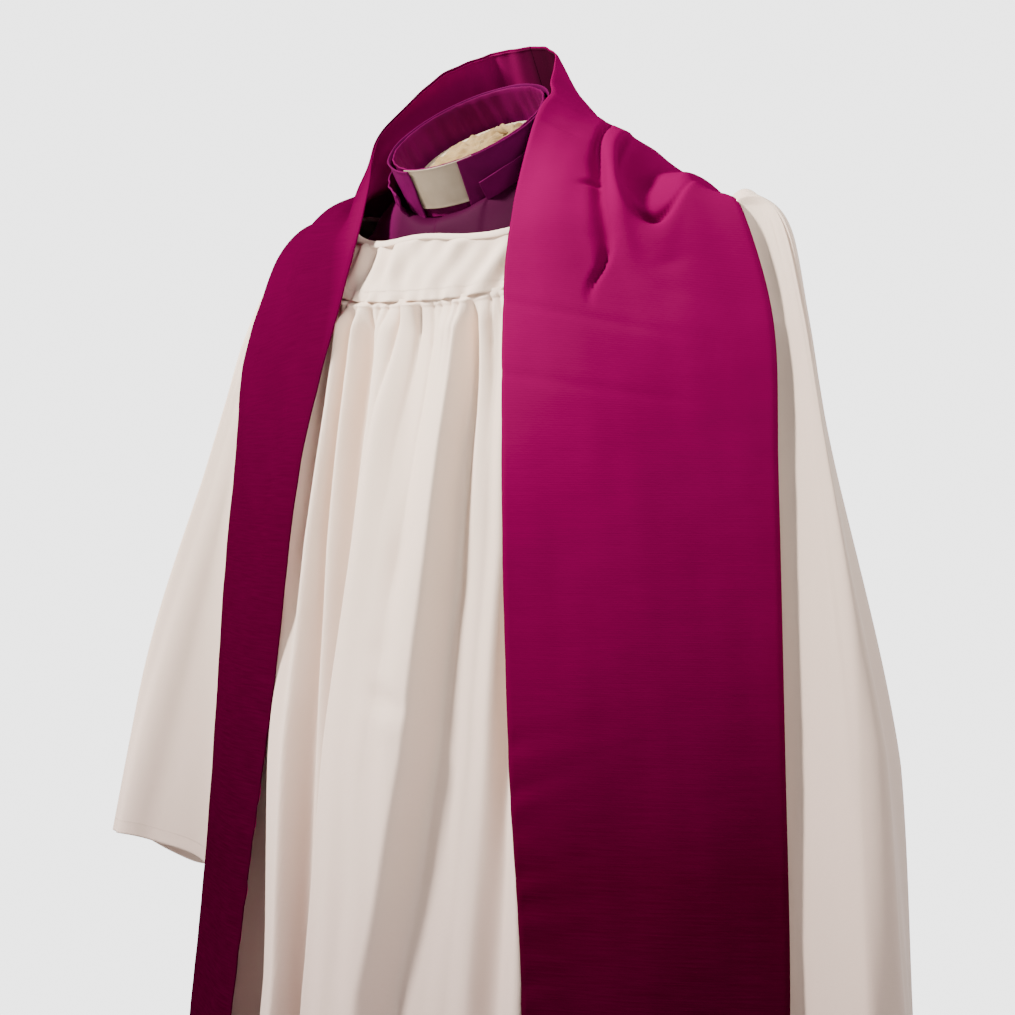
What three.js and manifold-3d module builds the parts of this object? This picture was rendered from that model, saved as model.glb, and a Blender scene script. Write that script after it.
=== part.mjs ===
// A headless display form on a height-adjustable pole, dressed in a white surplice with wide sleeves,
// a purple clergy garment whose collar and front show at the neck, and a wide plain stole.
// Millimetres, +Z up. The origin is on the floor at the pole's axis, the front faces -Y and the
// wearer's left is +X.

import * as THREE from 'three';
import { mergeVertices } from 'three/addons/utils/BufferGeometryUtils.js';
import Module from 'manifold-3d';

const wasm = await Module();
wasm.setup();

// ---------------------------------------------------------------- driving dimensions

const GAP = 0.4; // between pieces that touch
const CLOTH = 4; // thickness of the surplice's solids
const CASSOCK_CLOTH = 3;
const CASSOCK_SEAM = 0.2; // degrees that each half stops short of the side
const STOLE_FACE = 3;
const STOLE_LINING = 2;

// Rings of the form and of the clothes over it, from the neck down. Each ring is an oval: halfWidth
// is across the shoulders, front, side and back are the Y of those points, and zFront, zSide and
// zBack are their heights.
const ring = (halfWidth, front, side, back, zFront, zSide, zBack) => (
  { halfWidth, front, side, back, zFront, zSide, zBack }
);

const FORM_RINGS = [
  ring(52, -84, -42, 2, 1350, 1385, 1412), // foot of the neck
  ring(115, -99, -25, 39, 1310, 1359, 1364),
  ring(190, -103, -5, 60, 1272, 1333, 1316), // shoulder points
  ring(185, -108, 0, 80, 1215, 1245, 1235),
  ring(172, -118, 0, 96, 1150, 1150, 1150), // chest
  ring(138, -100, 0, 85, 1020, 1020, 1020), // waist
  ring(160, -110, 0, 104, 900, 900, 900),
  ring(165, -112, 0, 108, 846, 846, 846), // hips
];

const CASSOCK_RINGS = [
  ring(79, -106, -42, 26, 1344, 1385, 1419),
  ring(128, -107, -22, 46, 1314, 1366, 1370),
  ring(197, -109, -5, 67, 1280, 1341, 1322),
  ring(208, -115, 0, 88, 1225, 1268, 1252),
  ring(205, -128, 0, 104, 1150, 1150, 1150),
  ring(200, -132, 0, 110, 1030, 1030, 1030),
];

const SURPLICE_RINGS = [
  ring(90, -114, -40, 38, 1338, 1392, 1411), // neckline
  ring(140, -115, -20, 58, 1316, 1377, 1381),
  ring(205, -117, -5, 78, 1289, 1352, 1333), // yoke seam
  ring(226, -125, 0, 98, 1235, 1290, 1270),
  ring(232, -140, 0, 115, 1160, 1180, 1170),
  ring(240, -157, 2, 146, 1050, 1050, 1050),
  ring(252, -170, 6, 164, 956, 956, 956),
  ring(270, -177, 8, 182, 850, 850, 850),
  ring(286, -185, 10, 198, 740, 740, 740),
  ring(302, -200, 8, 208, 600, 600, 600),
  ring(318, -218, 4, 222, 430, 430, 430), // hem
];
const YOKE_SEAM = 2; // the ring of the yoke seam
const SEAM_SHIFT = 0.01; // in rings, between the yoke and the body
const SURPLICE_HEM = 10;
const SIDE_SEAM = 0.15; // degrees that each half stops short of the side
const HEM_DEPTH = 0.16; // in rings
const BINDING_DEPTH = 0.14;
const BAND_RISE = 2; // how far the sewn bands stand out of the cloth
const BAND_GAP = 0.8;
const DRAPE_GAP = 1.4; // under cloth that lies over other cloth

// Sleeve rings from the shoulder to the wrist opening: flattened tubes whose long axis runs outwards
// and forwards. Half-length is along that axis, half-thickness across it.
const sleeveRing = (out, forward, z, halfLength, halfThickness, tilt) => (
  { out, forward, z, halfLength, halfThickness, tilt }
);
const SLEEVE_RINGS = [
  sleeveRing(222, 0, 1361, 16, 8, 0),
  sleeveRing(229, 0, 1338, 58, 24, 0),
  sleeveRing(238, 0, 1266, 90, 30, 0),
  sleeveRing(260, 0, 1150, 104, 30, 0),
  sleeveRing(290, 0, 956, 124, 46, 8),
  sleeveRing(311, 3, 836, 136, 52, 16), // wrist opening
];
const SLEEVE_TURN = 41.5; // degrees that the sleeve's long axis turns forward of the shoulder line
const LEFT_SLEEVE_DROP = 80; // the wearer's left sleeve hangs lower by this much
const DROP_START = 4; // the ring below which it does
const CUFF_START = 4.86;
const CUFF_GAP = 1.6; // between the sleeve and its turned-up hem
const PADDING_START = 1.2;
const PADDING_END = 3.8;
const PADDING_FILL = 0.7; // of the sleeve's width and thickness
const PADDING_DEPTH = 9; // further behind the stole than the sleeve's outside

// The stole's rails, each station from the inner edge by the middle to the outer edge.
const station = (inner, middle, outer) => ({ inner, middle, outer });
const STOLE_STATIONS = [
  station([2, 8, 1491], [2, 50, 1408], [2, 98, 1325]), // seam behind the neck
  station([40, -4, 1489], [62, 46, 1409], [85, 94, 1328]),
  station([66, -40, 1470], [113, 24, 1411], [167, 66, 1361]),
  station([82, -80, 1418], [139, -36, 1394], [205, 8, 1376]),
  station([90, -112, 1352], [167, -88, 1351], [244, -28, 1350]),
  station([90, -122, 1285], [188, -98, 1274], [284, -45, 1262]),
  station([110, -143, 1150], [205, -105, 1150], [294, -52, 1150]),
  station([131, -160, 956], [223, -118, 956], [307, -61, 956]),
  station([152, -168, 776], [239, -126, 776], [317, -68, 776]),
  station([162, -192, 560], [249, -148, 560], [328, -90, 560]),
  station([169, -208, 360], [257, -164, 360], [337, -106, 360]), // lower end
];
const CHEST_STATION = 4; // the first station where the panel hangs in front of the sleeve
const TUCK_DEPTH = 11; // from the panel's outer side to the sleeve behind it
const TUCK_FADE = 60; // beyond the panel's outer edge the sleeve comes forward again

// The clerical collar stands on a tilted axis and is turned a little to the wearer's left.
const COLLAR_CENTRE = [0, -65, 1424]; // centre of its top edge
const COLLAR_TILT = 35; // degrees forward
const COLLAR_TURN = 12;
const COLLAR_HEIGHT = 42;
const SHIRT_OUTER_RADIUS = 67.5;
const SHIRT_INNER_RADIUS = 63;
const BAND_THICKNESS = 1.6;
const NOTCH_WIDTH = 39; // the opening in the outer band where the tab shows
const TAB_RADIUS = 65.4;
const TAB_THICKNESS = 1.2;
const TAB_WIDTH = 66;
const TAB_HEIGHT = 34;
const CASSOCK_COLLAR_RADIUS = 71.5;
const CASSOCK_COLLAR_TOP = -13; // below the shirt collar's top edge
const CASSOCK_COLLAR_HEIGHT = 28;
const CASSOCK_COLLAR_GAP = 76; // degrees, at the front
const NECK_RADIUS = 56;
const NECK_TOP = -24;
const NECK_FOOT = -70;
const NECK_CAP_THICKNESS = 4;
const GATHER_RADIUS = 44;
const GATHER_HEIGHT = 10;

// The stand.
const BASE_RADIUS = 205;
const PAD_THICKNESS = 3;
const BASE_THICKNESS = 8;
const BOSS_RADIUS = 42;
const BOSS_HEIGHT = 46;
const TUBE_OUTER = 16;
const TUBE_INNER = 12.6;
const TUBE_TOP = 690;
const POLE_RADIUS = 11.8;
const POLE_FOOT = 240;
const POLE_TOP = 822;
const CLAMP_OUTER = 27;
const CLAMP_HEIGHT = 34;
const FLANGE_RADIUS = 55;
const FLANGE_THICKNESS = 6;
const SPIGOT_RADIUS = 9;
const CAP_THICKNESS = 16;
const KNOB_RADIUS = 20;
const KNOB_LOBES = 6;
const LOBE_STEPS = 6; // outline points in one lobe
const LOBE_HEIGHT = 2.5;
const GRIP_THICKNESS = 14;
const GRIP_STANDOFF = 19; // from the clamp to the grip
const STEM_RADIUS = 6;
const STEM_LENGTH = 20;
const STEM_OVERLAP = 1; // how far the stem runs into the grip
const PAD_INSET = 4;
const BOSS_FOOT = 8; // height of the boss's straight foot
const BOSS_WALL = 8; // thickness at its top
const CAP_INSET = 5; // of the wooden base inside the form's lower edge
const SPIGOT_PLAY = 1;

// How finely the shapes are drawn: columns run round a shape or across it, rows run down it.
const PLATE_SEGMENTS = 56;
const DISC_SEGMENTS = 40;
const NECK_SEGMENTS = 32;
const TUBE_SEGMENTS = 32;
const THIN_SEGMENTS = 24;
const STEM_SEGMENTS = 16;
const FORM_GRID = [24, 12];
const HALF_COLUMNS = 16; // of one half of a garment
const CASSOCK_ROWS = 6;
const YOKE_ROWS = 3;
const BODY_ROWS = 8;
const ENVELOPE_GRID = [32, 18];
const SLEEVE_GRID = [20, 9];
const PADDING_GRID = [14, 4];
const STOLE_GRID = [5, 18];
const BAND_COLUMNS = 40;
const CASSOCK_BAND_COLUMNS = 36;
const TAB_COLUMNS = 12;
const GATHER_STEPS = 6;
const GATHER_FOOT = 1; // height of the gathered muslin's edge

// ---------------------------------------------------------------- colours

const material = (color, roughness, metalness = 0) => (
  new THREE.MeshStandardMaterial({ color, roughness, metalness })
);
const COTTON = material(0xeee6dc, 0.9);
const PURPLE = material(0x560a50, 0.8);
const MAGENTA = material(0x8c0d52, 0.5);
const LINING = material(0x5c0a38, 0.6);
const CREAM = material(0xe0d3b4, 0.6);
const CALICO = material(0xd9caa4, 0.95);
const STEEL = material(0x2b2b2d, 0.5, 0.6);
const CHROME = material(0xb8b8bc, 0.25, 1);
const BEECH = material(0xb98d5c, 0.6);
const RUBBER = material(0x1c1c1c, 0.95);

// ---------------------------------------------------------------- general helpers

const group = new THREE.Group();

function addPiece(name, geometry, pieceMaterial, parent = group) {
  const mesh = new THREE.Mesh(geometry, pieceMaterial);
  mesh.name = name;
  parent.add(mesh);
  return mesh;
}

function catmullRom(before, start, end, after, t) {
  const slopeStart = (end - before) / 2;
  const slopeEnd = (after - start) / 2;
  const t2 = t * t;
  const t3 = t2 * t;
  return (2 * t3 - 3 * t2 + 1) * start + (t3 - 2 * t2 + t) * slopeStart
    + (3 * t2 - 2 * t3) * end + (t3 - t2) * slopeEnd;
}

// Smooth value of one number at a fractional place in a list.
function along(list, place, read) {
  const last = list.length - 1;
  const index = Math.min(Math.floor(place), last - 1);
  const at = (i) => read(list[Math.max(0, Math.min(last, i))]);
  return catmullRom(at(index - 1), at(index), at(index + 1), at(index + 2), place - index);
}

function geometryOf(points, faces) {
  const geometry = new THREE.BufferGeometry();
  const positions = points.flatMap((point) => [point.x, point.y, point.z]);
  geometry.setAttribute('position', new THREE.Float32BufferAttribute(positions, 3));
  geometry.setIndex(faces.flat());
  if (signedVolume(geometry) < 0) {
    geometry.setIndex(faces.flatMap(([a, b, c]) => [a, c, b]));
  }
  geometry.computeVertexNormals();
  return geometry;
}

function signedVolume(geometry) {
  const position = geometry.attributes.position;
  const index = geometry.index;
  const corners = [new THREE.Vector3(), new THREE.Vector3(), new THREE.Vector3()];
  let volume = 0;
  for (let i = 0; i < index.count; i += 3) {
    corners.forEach((corner, k) => corner.fromBufferAttribute(position, index.getX(i + k)));
    volume += corners[0].dot(corners[1].clone().cross(corners[2])) / 6;
  }
  return volume;
}

function quad(faces, a, b, c, d) {
  faces.push([a, b, c]);
  faces.push([a, c, d]);
}

// Unit normal of a surface given as pointAt(u, v), on the side away from du x dv.
function normalAt(pointAt, u, v) {
  const step = 0.004;
  const u0 = Math.max(0, u - step);
  const u1 = Math.min(1, u + step);
  const v0 = Math.max(0, v - step);
  const v1 = Math.min(1, v + step);
  const du = pointAt(u1, v).sub(pointAt(u0, v));
  const dv = pointAt(u, v1).sub(pointAt(u, v0));
  return dv.cross(du).normalize();
}

// The same surface moved out along its normal.
function offset(pointAt, distance) {
  return (u, v) => pointAt(u, v).addScaledVector(normalAt(pointAt, u, v), distance);
}

// A closed solid of cloth between two offsets of a surface. With round set, u runs right round.
function sheetSolid(pointAt, columns, rows, outer, inner, round = false) {
  const points = [];
  const faces = [];
  const across = round ? columns : columns + 1;
  const sheets = [offset(pointAt, outer), offset(pointAt, inner)];
  for (const sheet of sheets) {
    for (let j = 0; j <= rows; j++) {
      for (let i = 0; i < across; i++) {
        points.push(sheet(i / columns, j / rows));
      }
    }
  }
  const layer = across * (rows + 1);
  const at = (side, i, j) => side * layer + j * across + (i % across);
  for (let j = 0; j < rows; j++) {
    for (let i = 0; i < columns; i++) {
      quad(faces, at(0, i, j), at(0, i, j + 1), at(0, i + 1, j + 1), at(0, i + 1, j));
      quad(faces, at(1, i, j), at(1, i + 1, j), at(1, i + 1, j + 1), at(1, i, j + 1));
    }
  }
  for (let i = 0; i < columns; i++) {
    quad(faces, at(0, i, 0), at(0, i + 1, 0), at(1, i + 1, 0), at(1, i, 0));
    quad(faces, at(0, i, rows), at(1, i, rows), at(1, i + 1, rows), at(0, i + 1, rows));
  }
  if (!round) {
    for (let j = 0; j < rows; j++) {
      quad(faces, at(0, 0, j), at(1, 0, j), at(1, 0, j + 1), at(0, 0, j + 1));
      quad(faces, at(0, columns, j), at(0, columns, j + 1), at(1, columns, j + 1), at(1, columns, j));
    }
  }
  return geometryOf(points, faces);
}

// A closed solid inside a surface that runs right round, with a fan over each end.
function loftSolid(pointAt, columns, rows) {
  const points = [];
  const faces = [];
  for (let j = 0; j <= rows; j++) {
    for (let i = 0; i < columns; i++) {
      points.push(pointAt(i / columns, j / rows));
    }
  }
  const at = (i, j) => j * columns + (i % columns);
  for (let j = 0; j < rows; j++) {
    for (let i = 0; i < columns; i++) {
      quad(faces, at(i, j), at(i, j + 1), at(i + 1, j + 1), at(i + 1, j));
    }
  }
  for (const j of [0, rows]) {
    const middle = new THREE.Vector3();
    for (let i = 0; i < columns; i++) {
      middle.addScaledVector(points[at(i, j)], 1 / columns);
    }
    points.push(middle);
    const centre = points.length - 1;
    for (let i = 0; i < columns; i++) {
      const pair = j === 0 ? [at(i, j), at(i + 1, j)] : [at(i + 1, j), at(i, j)];
      faces.push([...pair, centre]);
    }
  }
  return geometryOf(points, faces);
}

// ---------------------------------------------------------------- joining and cutting

function toSolid(source) {
  const bare = source.clone();
  bare.deleteAttribute('normal');
  bare.deleteAttribute('uv');
  const merged = mergeVertices(bare, 1e-4);
  return new wasm.Manifold(new wasm.Mesh({
    numProp: 3,
    vertProperties: Float32Array.from(merged.attributes.position.array),
    triVerts: Uint32Array.from(merged.index.array),
  }));
}

function toGeometry(solid) {
  const mesh = solid.getMesh();
  const geometry = new THREE.BufferGeometry();
  geometry.setAttribute('position', new THREE.Float32BufferAttribute(mesh.vertProperties, 3));
  geometry.setIndex(Array.from(mesh.triVerts));
  geometry.computeVertexNormals();
  return geometry;
}

// The largest piece that is left of a geometry when the others are cut away from it.
function cut(source, ...cutters) {
  let solid = toSolid(source);
  for (const cutter of cutters) {
    solid = solid.subtract(toSolid(cutter));
  }
  const pieces = solid.decompose();
  pieces.sort((a, b) => b.volume() - a.volume());
  return toGeometry(pieces[0]);
}

function join(...sources) {
  return toGeometry(sources.map(toSolid).reduce((whole, next) => whole.add(next)));
}

// ---------------------------------------------------------------- garment surfaces

// The point of a ring at an angle: 0 is the wearer's left, a quarter turn the back.
function ringPoint(rings, angle, level) {
  const read = (key) => along(rings, level, (entry) => entry[key]);
  const c = Math.cos(angle);
  const s = Math.sin(angle);
  const facing = s < 0 ? 'front' : 'back';
  const facingHeight = s < 0 ? 'zFront' : 'zBack';
  const side = read('side');
  return new THREE.Vector3(
    read('halfWidth') * c,
    side + Math.abs(s) * (read(facing) - side),
    read('zSide') * c * c + read(facingHeight) * s * s,
  );
}

function ringSurface(rings, fromAngle, toAngle, fromLevel, toLevel) {
  return (u, v) => ringPoint(
    rings,
    THREE.MathUtils.degToRad(fromAngle + (toAngle - fromAngle) * u),
    fromLevel + (toLevel - fromLevel) * v,
  );
}

// side is 1 for the wearer's left sleeve and -1 for the right one.
// The stole's edges in plan at a height, where its panel hangs in front of the wearer's left sleeve.
function panelEdges(z) {
  const panel = STOLE_STATIONS.slice(CHEST_STATION);
  const below = panel.findIndex((entry) => entry.outer[2] <= z);
  const lower = below < 0 ? panel.length - 1 : Math.max(below, 1);
  const [start, end] = [panel[lower - 1], panel[lower]];
  const share = THREE.MathUtils.clamp((start.outer[2] - z) / (start.outer[2] - end.outer[2]), 0, 1);
  const between = (key) => new THREE.Vector2(start[key][0], start[key][1])
    .lerp(new THREE.Vector2(end[key][0], end[key][1]), share);
  return { inner: between('inner'), outer: between('outer') };
}

// Lays a point of the wearer's left sleeve behind the stole's panel.
function tuckBehindStole(point, depth) {
  const { inner, outer } = panelEdges(point.z);
  const across = outer.clone().sub(inner).normalize();
  const forward = new THREE.Vector2(across.y, -across.x);
  const fromEdge = new THREE.Vector2(point.x, point.y).sub(outer);
  const ahead = Math.max(0, fromEdge.dot(forward) + depth);
  const held = 1 - THREE.MathUtils.smoothstep(fromEdge.dot(across), 0, TUCK_FADE);
  return point.sub(new THREE.Vector3(forward.x, forward.y, 0).multiplyScalar(ahead * held));
}

function sleeveSurface(side, fromLevel, toLevel, fill = 1, extraDepth = 0) {
  const turn = THREE.MathUtils.degToRad(SLEEVE_TURN);
  return (u, v) => {
    const level = fromLevel + (toLevel - fromLevel) * v;
    const read = (key) => along(SLEEVE_RINGS, level, (entry) => entry[key]);
    const angle = side * u * 2 * Math.PI;
    const long = Math.cos(angle) * read('halfLength') * fill;
    const short = Math.sin(angle) * read('halfThickness') * fill;
    const drop = side > 0 ? LEFT_SLEEVE_DROP * Math.max(0, level - DROP_START) : 0;
    const point = new THREE.Vector3(
      read('out') + long * Math.cos(turn) + short * Math.sin(turn),
      -read('forward') - long * Math.sin(turn) + short * Math.cos(turn),
      read('z') + read('tilt') * Math.cos(angle) - drop,
    );
    return tuckBehindStole(point, TUCK_DEPTH + extraDepth).multiply(new THREE.Vector3(side, 1, 1));
  };
}

// u runs from the inner edge to the outer edge, v from the back of the neck to the lower end.
function stoleSurface(side) {
  return (u, v) => {
    const place = v * (STOLE_STATIONS.length - 1);
    const coordinate = (axis) => {
      const inner = along(STOLE_STATIONS, place, (entry) => entry.inner[axis]);
      const middle = along(STOLE_STATIONS, place, (entry) => entry.middle[axis]);
      const outer = along(STOLE_STATIONS, place, (entry) => entry.outer[axis]);
      return inner * (1 - u) * (1 - 2 * u) + middle * 4 * u * (1 - u) + outer * u * (2 * u - 1);
    };
    return new THREE.Vector3(side * coordinate(0), coordinate(1), coordinate(2));
  };
}

// ---------------------------------------------------------------- the stand

function disc(radius, thickness, segments) {
  return new THREE.CylinderGeometry(radius, radius, thickness, segments).rotateX(Math.PI / 2);
}

// A turned ring between two heights.
function turnedRing(innerRadius, outerRadius, low, high) {
  const profile = [
    new THREE.Vector2(innerRadius, low),
    new THREE.Vector2(outerRadius, low),
    new THREE.Vector2(outerRadius, high),
    new THREE.Vector2(innerRadius, high),
    new THREE.Vector2(innerRadius, low),
  ];
  return new THREE.LatheGeometry(profile, TUBE_SEGMENTS).rotateX(Math.PI / 2);
}

function addDisc(name, radius, low, high, pieceMaterial, segments) {
  const piece = addPiece(name, disc(radius, high - low, segments), pieceMaterial);
  piece.position.z = (low + high) / 2;
  return piece;
}

function addStand() {
  const plateLow = PAD_THICKNESS + GAP;
  const plateTop = plateLow + BASE_THICKNESS;
  addDisc('floor_pad', BASE_RADIUS - PAD_INSET, 0, PAD_THICKNESS, RUBBER, DISC_SEGMENTS);
  addDisc('base_plate', BASE_RADIUS, plateLow, plateTop, STEEL, PLATE_SEGMENTS);
  const bossLow = plateTop + GAP;
  const bossBore = TUBE_OUTER + GAP;
  const bossProfile = [
    new THREE.Vector2(bossBore, bossLow),
    new THREE.Vector2(BOSS_RADIUS, bossLow),
    new THREE.Vector2(BOSS_RADIUS, bossLow + BOSS_FOOT),
    new THREE.Vector2(bossBore + BOSS_WALL, bossLow + BOSS_HEIGHT),
    new THREE.Vector2(bossBore, bossLow + BOSS_HEIGHT),
    new THREE.Vector2(bossBore, bossLow),
  ];
  addPiece('base_boss', new THREE.LatheGeometry(bossProfile, TUBE_SEGMENTS).rotateX(Math.PI / 2), STEEL);
  addPiece('outer_tube', turnedRing(TUBE_INNER, TUBE_OUTER, bossLow, TUBE_TOP), STEEL);
  const clampLow = TUBE_TOP - CLAMP_HEIGHT / 2;
  addPiece(
    'clamp_collar',
    turnedRing(TUBE_OUTER + GAP, CLAMP_OUTER, clampLow, clampLow + CLAMP_HEIGHT),
    STEEL,
  );
  addPiece('clamp_knob', knobGeometry(), RUBBER);
}

// A lobed hand knob with its screw, on an axis that runs back from the clamp.
function knobGeometry() {
  const outline = new THREE.Shape();
  const steps = KNOB_LOBES * LOBE_STEPS;
  for (let i = 0; i < steps; i++) {
    const angle = (i / steps) * 2 * Math.PI;
    const radius = KNOB_RADIUS + LOBE_HEIGHT * Math.cos(KNOB_LOBES * angle);
    const x = radius * Math.cos(angle);
    const y = radius * Math.sin(angle);
    if (i === 0) {
      outline.moveTo(x, y);
    } else {
      outline.lineTo(x, y);
    }
  }
  const grip = new THREE.ExtrudeGeometry(outline, { depth: GRIP_THICKNESS, bevelEnabled: false });
  const stem = new THREE.CylinderGeometry(STEM_RADIUS, STEM_RADIUS, STEM_LENGTH, STEM_SEGMENTS)
    .rotateX(Math.PI / 2)
    .translate(0, 0, STEM_OVERLAP - STEM_LENGTH / 2);
  const knob = join(grip, stem);
  knob.rotateX(-Math.PI / 2);
  knob.translate(0, CLAMP_OUTER + GAP + GRIP_STANDOFF, TUBE_TOP);
  return knob;
}

function addMast() {
  const flangeLow = POLE_TOP + GAP;
  const flangeTop = flangeLow + FLANGE_THICKNESS;
  addDisc('inner_pole', POLE_RADIUS, POLE_FOOT, POLE_TOP, CHROME, TUBE_SEGMENTS);
  addDisc('pole_flange', FLANGE_RADIUS, flangeLow, flangeTop, STEEL, DISC_SEGMENTS);
  addDisc('pole_spigot', SPIGOT_RADIUS, flangeTop + GAP, flangeTop + CAP_THICKNESS, CHROME, THIN_SEGMENTS);
}

// ---------------------------------------------------------------- the form

function addForm() {
  const capLow = POLE_TOP + 2 * GAP + FLANGE_THICKNESS;
  const hips = FORM_RINGS[FORM_RINGS.length - 1];
  const capOutline = new THREE.Shape();
  capOutline.absellipse(
    0, (hips.front + hips.back) / 2, hips.halfWidth - CAP_INSET, hips.back - CAP_INSET, 0, 2 * Math.PI,
  );
  const bore = new THREE.Path();
  bore.absarc(0, 0, SPIGOT_RADIUS + SPIGOT_PLAY, 0, 2 * Math.PI);
  capOutline.holes.push(bore);
  const cap = new THREE.ExtrudeGeometry(capOutline, {
    depth: CAP_THICKNESS,
    bevelEnabled: false,
    curveSegments: THIN_SEGMENTS,
  });
  addPiece('form_base_cap', cap.translate(0, 0, capLow), BEECH);
  const whole = ringSurface(FORM_RINGS, 0, 360, 0, FORM_RINGS.length - 1);
  const torso = loftSolid(whole, ...FORM_GRID);
  addPiece('form_torso', torso, CALICO);
  const cutter = loftSolid(offset(whole, GAP), ...FORM_GRID);
  addPiece('form_neck', cut(inCollarFrame(neckGeometry()), cutter), CALICO);
  addPiece('neck_cap', inCollarFrame(neckCapGeometry()), CALICO);
  addPiece('neck_gather', inCollarFrame(neckGatherGeometry()), CALICO);
}

// Moves a shape made around +Z, with its front at -Y, onto the collar's tilted axis.
function inCollarFrame(geometry) {
  geometry.rotateZ(THREE.MathUtils.degToRad(COLLAR_TURN));
  geometry.rotateX(THREE.MathUtils.degToRad(COLLAR_TILT));
  geometry.translate(...COLLAR_CENTRE);
  return geometry;
}

function neckGeometry() {
  const height = NECK_TOP - NECK_FOOT;
  return disc(NECK_RADIUS, height, NECK_SEGMENTS).translate(0, 0, NECK_FOOT + height / 2);
}

function neckCapGeometry() {
  const low = NECK_TOP + GAP;
  return disc(NECK_RADIUS, NECK_CAP_THICKNESS, NECK_SEGMENTS)
    .translate(0, 0, low + NECK_CAP_THICKNESS / 2);
}

// A low dome of gathered muslin on the neck's cap.
function neckGatherGeometry() {
  const low = NECK_TOP + NECK_CAP_THICKNESS + 2 * GAP;
  const profile = [new THREE.Vector2(0, low)];
  for (let i = 0; i <= GATHER_STEPS; i++) {
    const angle = (i / GATHER_STEPS) * (Math.PI / 2);
    const radius = i === GATHER_STEPS ? 0 : GATHER_RADIUS * Math.cos(angle);
    profile.push(new THREE.Vector2(radius, low + GATHER_FOOT + GATHER_HEIGHT * Math.sin(angle)));
  }
  profile.splice(1, 0, new THREE.Vector2(GATHER_RADIUS, low));
  return new THREE.LatheGeometry(profile, THIN_SEGMENTS).rotateX(Math.PI / 2);
}

// ---------------------------------------------------------------- the collar and the purple garment

// A curved band round the collar's axis. Angles are in degrees from the front, towards the left.
function band(radius, thickness, low, high, fromAngle, toAngle, columns) {
  const round = toAngle - fromAngle >= 360;
  const surface = (u, v) => {
    const angle = THREE.MathUtils.degToRad(fromAngle + (toAngle - fromAngle) * u - 90);
    return new THREE.Vector3(radius * Math.cos(angle), radius * Math.sin(angle), high + (low - high) * v);
  };
  return inCollarFrame(sheetSolid(surface, columns, 1, thickness / 2, -thickness / 2, round));
}

function degreesAcross(width, radius) {
  return THREE.MathUtils.radToDeg(width / radius);
}

function addCollar() {
  const notch = degreesAcross(NOTCH_WIDTH, SHIRT_OUTER_RADIUS) / 2;
  const tab = degreesAcross(TAB_WIDTH, TAB_RADIUS) / 2;
  const opening = CASSOCK_COLLAR_GAP / 2;
  const cassockLow = CASSOCK_COLLAR_TOP - CASSOCK_COLLAR_HEIGHT;
  addPiece(
    'shirt_collar_inner',
    band(SHIRT_INNER_RADIUS, BAND_THICKNESS, -COLLAR_HEIGHT, 0, 0, 360, BAND_COLUMNS),
    PURPLE,
  );
  addPiece(
    'shirt_collar_outer',
    band(SHIRT_OUTER_RADIUS, BAND_THICKNESS, -COLLAR_HEIGHT, 0, notch, 360 - notch, BAND_COLUMNS),
    PURPLE,
  );
  addPiece(
    'collar_tab',
    band(TAB_RADIUS, TAB_THICKNESS, -TAB_HEIGHT, 0, -tab, tab, TAB_COLUMNS),
    CREAM,
  );
  addPiece(
    'cassock_collar',
    band(
      CASSOCK_COLLAR_RADIUS, BAND_THICKNESS, cassockLow, CASSOCK_COLLAR_TOP,
      opening, 360 - opening, CASSOCK_BAND_COLUMNS,
    ),
    PURPLE,
  );
}

function addCassock() {
  const last = CASSOCK_RINGS.length - 1;
  const front = ringSurface(CASSOCK_RINGS, 180 + CASSOCK_SEAM, 360 - CASSOCK_SEAM, 0, last);
  const back = ringSurface(CASSOCK_RINGS, CASSOCK_SEAM, 180 - CASSOCK_SEAM, 0, last);
  addPiece('cassock_front', sheetSolid(front, HALF_COLUMNS, CASSOCK_ROWS, 0, -CASSOCK_CLOTH), PURPLE);
  addPiece('cassock_back', sheetSolid(back, HALF_COLUMNS, CASSOCK_ROWS, 0, -CASSOCK_CLOTH), PURPLE);
}

// ---------------------------------------------------------------- the surplice


function addSurplice() {
  const halves = [
    ['front', 180 + SIDE_SEAM, 360 - SIDE_SEAM],
    ['back', SIDE_SEAM, 180 - SIDE_SEAM],
  ];
  for (const [name, from, to] of halves) {
    const yoke = ringSurface(SURPLICE_RINGS, from, to, 0, YOKE_SEAM - SEAM_SHIFT);
    const body = ringSurface(SURPLICE_RINGS, from, to, YOKE_SEAM + SEAM_SHIFT, SURPLICE_HEM);
    const hem = ringSurface(SURPLICE_RINGS, from, to, SURPLICE_HEM - HEM_DEPTH, SURPLICE_HEM);
    addPiece(`yoke_${name}`, sheetSolid(yoke, HALF_COLUMNS, YOKE_ROWS, 0, -CLOTH), COTTON);
    addPiece(`body_${name}`, sheetSolid(body, HALF_COLUMNS, BODY_ROWS, 0, -CLOTH), COTTON);
    addPiece(`hem_${name}`, sheetSolid(hem, HALF_COLUMNS, 1, BAND_GAP + BAND_RISE, BAND_GAP), COTTON);
  }
  const neckline = ringSurface(SURPLICE_RINGS, 0, 360, 0, BINDING_DEPTH);
  const binding = sheetSolid(neckline, 2 * HALF_COLUMNS, 1, BAND_GAP + BAND_RISE, BAND_GAP, true);
  addPiece('neck_binding', binding, COTTON);
}

// The space that the surplice's body and its contents fill, for cutting what lies over it.
function bodyEnvelope(clearance) {
  const whole = ringSurface(SURPLICE_RINGS, 0, 360, 0, SURPLICE_HEM);
  return loftSolid(offset(whole, clearance), ...ENVELOPE_GRID);
}

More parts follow.
